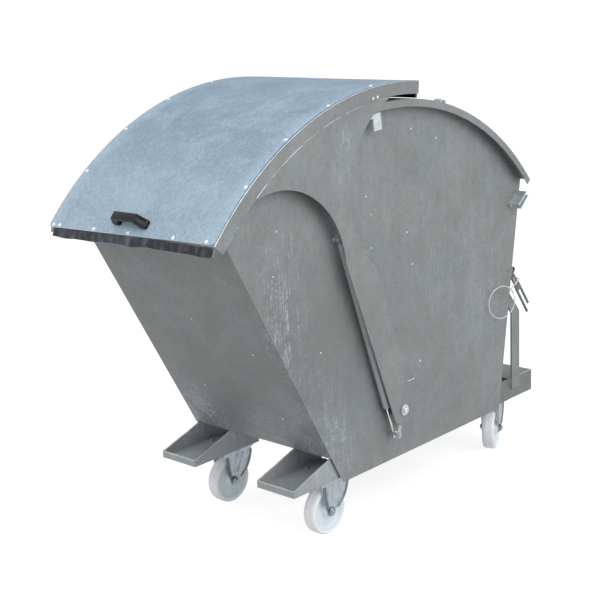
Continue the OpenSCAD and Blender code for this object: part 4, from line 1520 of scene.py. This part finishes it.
@dataclass
class Castor:
    """One swivel castor: pressed fork, solid wheel and axle.

    Its pieces are built in the castor's own frame, with the swivel axis as its
    upright axis and the wheel behind it, and then turned and placed.
    """

    side: Side
    end: str
    x: float
    y: float
    turn: float = 0.0
    trail: float = 0.024
    axle_z: float = 0.080
    wheel_radius: float = 0.080
    wheel_half: float = 0.022
    seam_inset: float = 0.0105
    hub_half: float = 0.0266
    bore: float = 0.01005
    flank: tuple[Point, ...] = ((-0.0006, -0.004), (0.0, -0.0012), (0.0010, 0.0))
    tread: tuple[Point, ...] = ((-0.0052, -0.0002), (-0.0018, -0.0036), (-0.0003, -0.009))
    groove: tuple[Point, ...] = ((0.0, 0.0016), (-0.0026, 0.0006), (-0.0026, -0.0014), (0.0, -0.0024))
    hub: tuple[Point, ...] = ((0.0, 0.0), (0.010, 0.0), (0.0125, -0.002))
    hub_foot: Point = (0.015, -0.010)
    dish: tuple[Point, ...] = (
        (-0.0160, -0.0105), (-0.0110, -0.0055), (-0.0070, -0.0016), (-0.0012, -0.0030), (0.0, -0.0046),
    )
    fork_in: float = 0.027
    fork_thick: float = 0.004
    crown_half: float = 0.062
    crown_drop: float = 0.020
    leg_half: float = 0.0175
    leg_skew: float = 0.004
    front_bend: Point = (-0.060, 0.118)
    rear_bend: Point = (0.054, 0.106)
    curve_steps: int = 8
    toe_radius: float = 0.018
    toe_angles: tuple[float, ...] = (-34.3775, -63.0254, -89.9544, -116.8834, -148.969)
    ribs: tuple[tuple[float, Point], ...] = (
        (-0.040, (-0.034, 0.100)), (0.026, (-0.010, 0.102)), (-0.007, (-0.022, 0.106)),
    )
    rib_rise: float = 0.004
    rib_sink: float = 0.0015
    rib_width: float = 0.0074
    leg_middle: Point = (-0.006, 0.02)
    rim_sink: float = 0.001
    rim_inset: float = 0.003
    rim_depth: float = 0.0052
    fold_width: float = 0.016
    fold_taper: float = 0.0006
    fold_depth: float = 0.0009
    nut: tuple[Point, ...] = (
        (0.0, 0.0125), (0.004, 0.0121), (0.0075, 0.0102), (0.0092, 0.0075), (0.0118, 0.0072), (0.0134, 0.0058),
        (0.0134, 0.0018), (0.0158, 0.0016), (0.0158, 0.0),
    )
    bolt_radius: float = 0.006
    sleeve_radius: float = 0.0099

    @property
    def word(self) -> str:
        """The castor's place in node names."""
        return f"{self.side.word}_{self.end}"

    @property
    def swivel(self) -> str:
        """The body that turns under the castor's plate."""
        return f"{self.side.word}_swivel" if self.end == "front" else f"{self.side.word}_rear_swivel"

    @property
    def axle(self) -> Vector:
        """The middle of the axle in the castor's own frame."""
        return Vector((0, -self.trail, self.axle_z))

    @property
    def fork_out(self) -> float:
        """Half the fork's width outside."""
        return self.fork_in + self.fork_thick

    def build(self) -> None:
        """Builds the castor's pieces."""
        self._wheel()
        self._fork()
        self._nuts()
        eased(f"{self.word}_castor_plate", Finish.PLATED, "container", 0.6)

    def _set_down(self, mesh: bmesh.types.BMesh) -> bmesh.types.BMesh:
        """Moves a mesh from the castor's own frame into the part's.

        Args:
            mesh: The bmesh to move.

        Returns:
            The same bmesh.
        """
        place = Matrix.Diagonal((self.side.value, 1, 1, 1)) @ Matrix.Translation((self.x, PIVOT.y + self.y, 0))
        bmesh.ops.transform(mesh, matrix=place @ Matrix.Rotation(math.radians(self.turn), 4, "Z"), verts=mesh.verts)
        return mesh

    def _wheel(self) -> None:
        """Turns the wheel: a tyre with a parting groove, and a dished disc with its hub."""
        r, half, bore = self.wheel_radius, self.wheel_half, self.bore
        seam = r - self.seam_inset
        flank = [*shifted(self.flank, seam, half), *shifted(self.tread, r, half)]
        hub = [*shifted(self.hub, bore, self.hub_half), *shifted([self.hub_foot], bore, half)]
        face = [*hub, *shifted(self.dish, seam, half)]
        # The disc takes a darker, bluer nylon: painted shade of its dished face
        for name, finish, nodes, profile in (
            ("tyre", Finish.NYLON, [f"{self.word}_wheel"], [*flank, *shifted(self.groove, r, 0.0), *mirrored(flank)]),
            ("disc", Finish.DISC, [], [*face, *mirrored(face)]),
        ):
            mesh = bmesh.new()
            lathe(mesh, [*profile, profile[0]], self.axle, Vector((1, 0, 0)), 96)
            to_piece(f"{self.word}_{name}", self._set_down(mesh), finish, f"{self.word}_roller", nodes, TURNED)

    def _edges(self, shoulder: float) -> tuple[list[Vector], list[Vector]]:
        """Curves the front and rear edges of a fork's leg.

        Args:
            shoulder: The height at which the edges leave the crown.

        Returns:
            The front edge and the rear edge, from the crown down to the axle.
        """
        curves = []
        for sign, bend in ((-1, self.front_bend), (1, self.rear_bend)):
            top = Vector((0, sign * self.crown_half, shoulder))
            middle = Vector((0, *bend))
            foot = Vector((0, -self.trail + sign * self.leg_half, self.axle_z - sign * self.leg_skew))
            shares = [i / self.curve_steps for i in range(self.curve_steps + 1)]
            curves.append([top.lerp(middle, t).lerp(middle.lerp(foot, t), t) for t in shares])
        return curves[0], curves[1]

    def _fork(self) -> None:
        """Presses the fork: two curved legs with ribs and turned rear edges under a crown."""
        _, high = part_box(f"{self.word}_fork")
        top = high[2]
        shoulder = top - self.crown_drop
        front, rear = self._edges(shoulder)
        turns = [math.radians(angle) for angle in self.toe_angles]
        toe = [self.axle + Vector((0, math.cos(a), math.sin(a))) * self.toe_radius for a in turns]
        crown = [Vector((0, -self.crown_half, top)), Vector((0, self.crown_half, top))]
        outline = [*crown, *rear, *toe, *reversed(front)]
        mesh = bmesh.new()
        for s in (1, -1):
            away = Vector((s, 0, 0))
            plate(mesh, [point + away * self.fork_in for point in outline], away * self.fork_thick)
            for y, foot in self.ribs:
                ends = ((y, shoulder + self.rib_rise), foot)
                start, stop = (Vector((s * (self.fork_out - self.rib_sink), *end)) for end in ends)
                straight_bead(mesh, start, stop, away, self.rib_width, 0.0)
            rim = [point + away * (self.fork_out - self.rim_sink) for point in rear[:-1]]
            for a, b in zip(rim, rim[1:]):
                plate(mesh, [a, b, self._inside(b), self._inside(a)], away * self.rim_depth)
        sides = ((-1, -1), (1, -1), (1, 1), (-1, 1))
        corners = [Vector((i * self.fork_out, j * self.crown_half, top)) for i, j in sides]
        plate(mesh, corners, Vector((0, 0, -self.fork_thick)))
        bmesh.ops.recalc_face_normals(mesh, faces=mesh.faces)
        self._folds(front)
        nodes = [f"{self.word}_fork"]
        to_piece(f"{self.word}_pressed_fork", self._set_down(mesh), Finish.PLATED, self.swivel, nodes, TURNED)

    def _folds(self, front: Sequence[Vector]) -> None:
        """Lays thin dark strips along the front edges of the fork's legs: painted shade on the folded front edge, which
        faces away from the light.

        Args:
            front: The front edge of a leg.
        """
        mesh = bmesh.new()
        widths = [self.fold_width - i * self.fold_taper for i in range(len(front))]
        for s in (1, -1):
            away = Vector((s, 0, 0))
            near = [point + away * self.fork_out for point in front]
            far = [point + Vector((0, width, 0)) for point, width in zip(near, widths)]
            for a, b, c, d in zip(near, near[1:], far[1:], far):
                plate(mesh, [a, b, c, d], away * self.fold_depth)
        to_piece(f"{self.word}_fork_folds", self._set_down(mesh), Finish.DULL_AND_SHADE, self.swivel, (), TURNED)

    def _inside(self, point: Vector) -> Vector:
        """Moves a point on a leg's edge towards the leg's middle."""
        y, rise = self.leg_middle
        return point + (Vector((point.x, y, point.z + rise)) - point).normalized() * self.rim_inset

    def _nuts(self) -> None:
        """Turns the axle sleeve, with washers and domed nuts on the fork."""
        bolt, sleeve, inner = self.bolt_radius, self.sleeve_radius, self.fork_in
        half = [*shifted(self.nut, 0.0, self.fork_out), (bolt, self.fork_out), (bolt, inner), (sleeve, inner)]
        mesh = bmesh.new()
        lathe(mesh, [*half, (sleeve, 0.0), *mirrored(half)], self.axle, Vector((1, 0, 0)), 36)
        nodes = [f"{self.word}_axle"]
        to_piece(f"{self.word}_axle_nuts", self._set_down(mesh), Finish.CHROME, self.swivel, nodes)


@dataclass
class Latch:
    """The latch lever with its spring, and the wire loop that pulls it."""

    wire_radius: float = 0.0017
    loop_radius: float = 0.058
    loop_centre: Vector = field(default_factory=lambda: from_pivot(339, 588, 231))
    loop_turn: float = 17.0
    loop_points: int = 72
    tie: tuple[int, int] = (5, 14)
    tie_share: float = 1.7
    tail_share: float = 1.25
    tail_bend: float = 0.01
    pin: Vector = field(default_factory=lambda: from_pivot(290, 709.47, 322))
    lean: float = 36.0
    root_aside: float = 0.003
    reach: float = 0.045
    elbow_x_mm: float = 318.0
    coil_radius: float = 0.0098
    coil_pitch: float = 0.0024
    coil_turns: float = 3.3
    coil_steps: int = 22
    coil_wire: float = 0.0011
    wall_leg: tuple[Triple, ...] = ((0.0, -0.001, -0.030), (0.0, 0.0, -0.008))
    lever_leg: Point = (0.012, 0.034)

    def build(self) -> None:
        """Builds the lever, its bracket, the spring and the loop."""
        eased("latch_lever", Finish.DULL_AND_SHADE, "latch", 0.8)
        eased("latch_bracket", Finish.PLATED, "container", 0.4)
        eased("latch_pin", Finish.WELD, "container", 0.4)
        self._spring()
        self._loop()

    def _spring(self) -> None:
        """Winds the torsion spring beside the lever, with one leg on the wall and one on the lever."""
        r, steps = self.coil_radius, self.coil_steps
        coil = []
        for i in range(round(self.coil_turns * steps) + 1):
            angle = 2 * math.pi * i / steps
            coil.append(self.pin + Vector((r + self.coil_pitch * i / steps, r * math.cos(angle), r * math.sin(angle))))
        ahead = (coil[-1] - coil[-2]).normalized()
        on_wall = [coil[0] + Vector(step) for step in self.wall_leg]
        on_lever = [coil[-1] + ahead * far for far in self.lever_leg]
        mesh = bmesh.new()
        wire(mesh, [*on_wall, *coil, *on_lever], self.coil_wire)
        to_piece("spring_coil", mesh, Finish.DULL_AND_SHADE, "container", ["latch_spring"], MOULDED)

    def _loop(self) -> None:
        """Bends the pull loop and its tail, and winds the tie where they meet."""
        turn, lean = math.radians(self.loop_turn), math.radians(self.lean)
        flat = Vector((math.sin(turn), math.cos(turn), 0))
        angles = [2 * math.pi * i / self.loop_points for i in range(self.loop_points)]
        ring = [
            self.loop_centre + (flat * math.cos(a) + Vector((0, 0, math.sin(a)))) * self.loop_radius for a in angles
        ]
        root = self.pin + Vector((self.root_aside, self.reach * math.sin(lean), -self.reach * math.cos(lean)))
        elbow = Vector((PIVOT.x + self.elbow_x_mm * MM, root.y, root.z))
        first, last = self.tie
        mesh = bmesh.new()
        wire(mesh, ring, self.wire_radius, closed=True)
        tail = rounded_path([root, elbow, ring[(first + last) // 2]], self.tail_bend, 6)
        wire(mesh, tail, self.wire_radius * self.tail_share)
        wire(mesh, ring[first:last], self.wire_radius * self.tie_share)
        to_piece("pull_wire", mesh, Finish.WELD, "latch", ["pull_loop"], WELDED)


def dress(names: Iterable[str], finish: Finish) -> None:
    """Gives CAD nodes that stay in view a finish.

    Args:
        names: The nodes' names.
        finish: The finish.
    """
    for name in names:
        data = NODES[name].data
        data.materials.clear()
        data.materials.append(finish.material)


def main() -> None:
    """Builds the container's looks in order."""
    logging.basicConfig(level=logging.INFO, format="%(message)s")
    bpy.context.scene.view_settings.view_transform = "Standard"
    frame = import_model()
    NODES.update(frame["nodes"])
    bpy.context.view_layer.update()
    dress(NODES, Finish.PLATED)
    Studio().build()
    BodyShell().build()
    LidShell().build()
    LidHandle().build()
    Underframe().build()
    for side in BOTH_SIDES:
        Castor(side, "front", 0.220, -0.231).build()
        Castor(side, "rear", 0.208, 0.718, 24.0).build()
        eased(f"{side.word}_strut_tube", Finish.STRUT, f"{side.word}_tube", 0.8)
        eased(f"{side.word}_strut_rod", Finish.ROD, f"{side.word}_rod", 0.5)
    for node in ("castor_bolts", "upper_strut_studs"):
        eased(node, Finish.PLATED, "container", 0.6)
    eased("handle_screws", Finish.PLATED, "lid", 0.6)
    Latch().build()


if __name__ == "__main__":
    main()
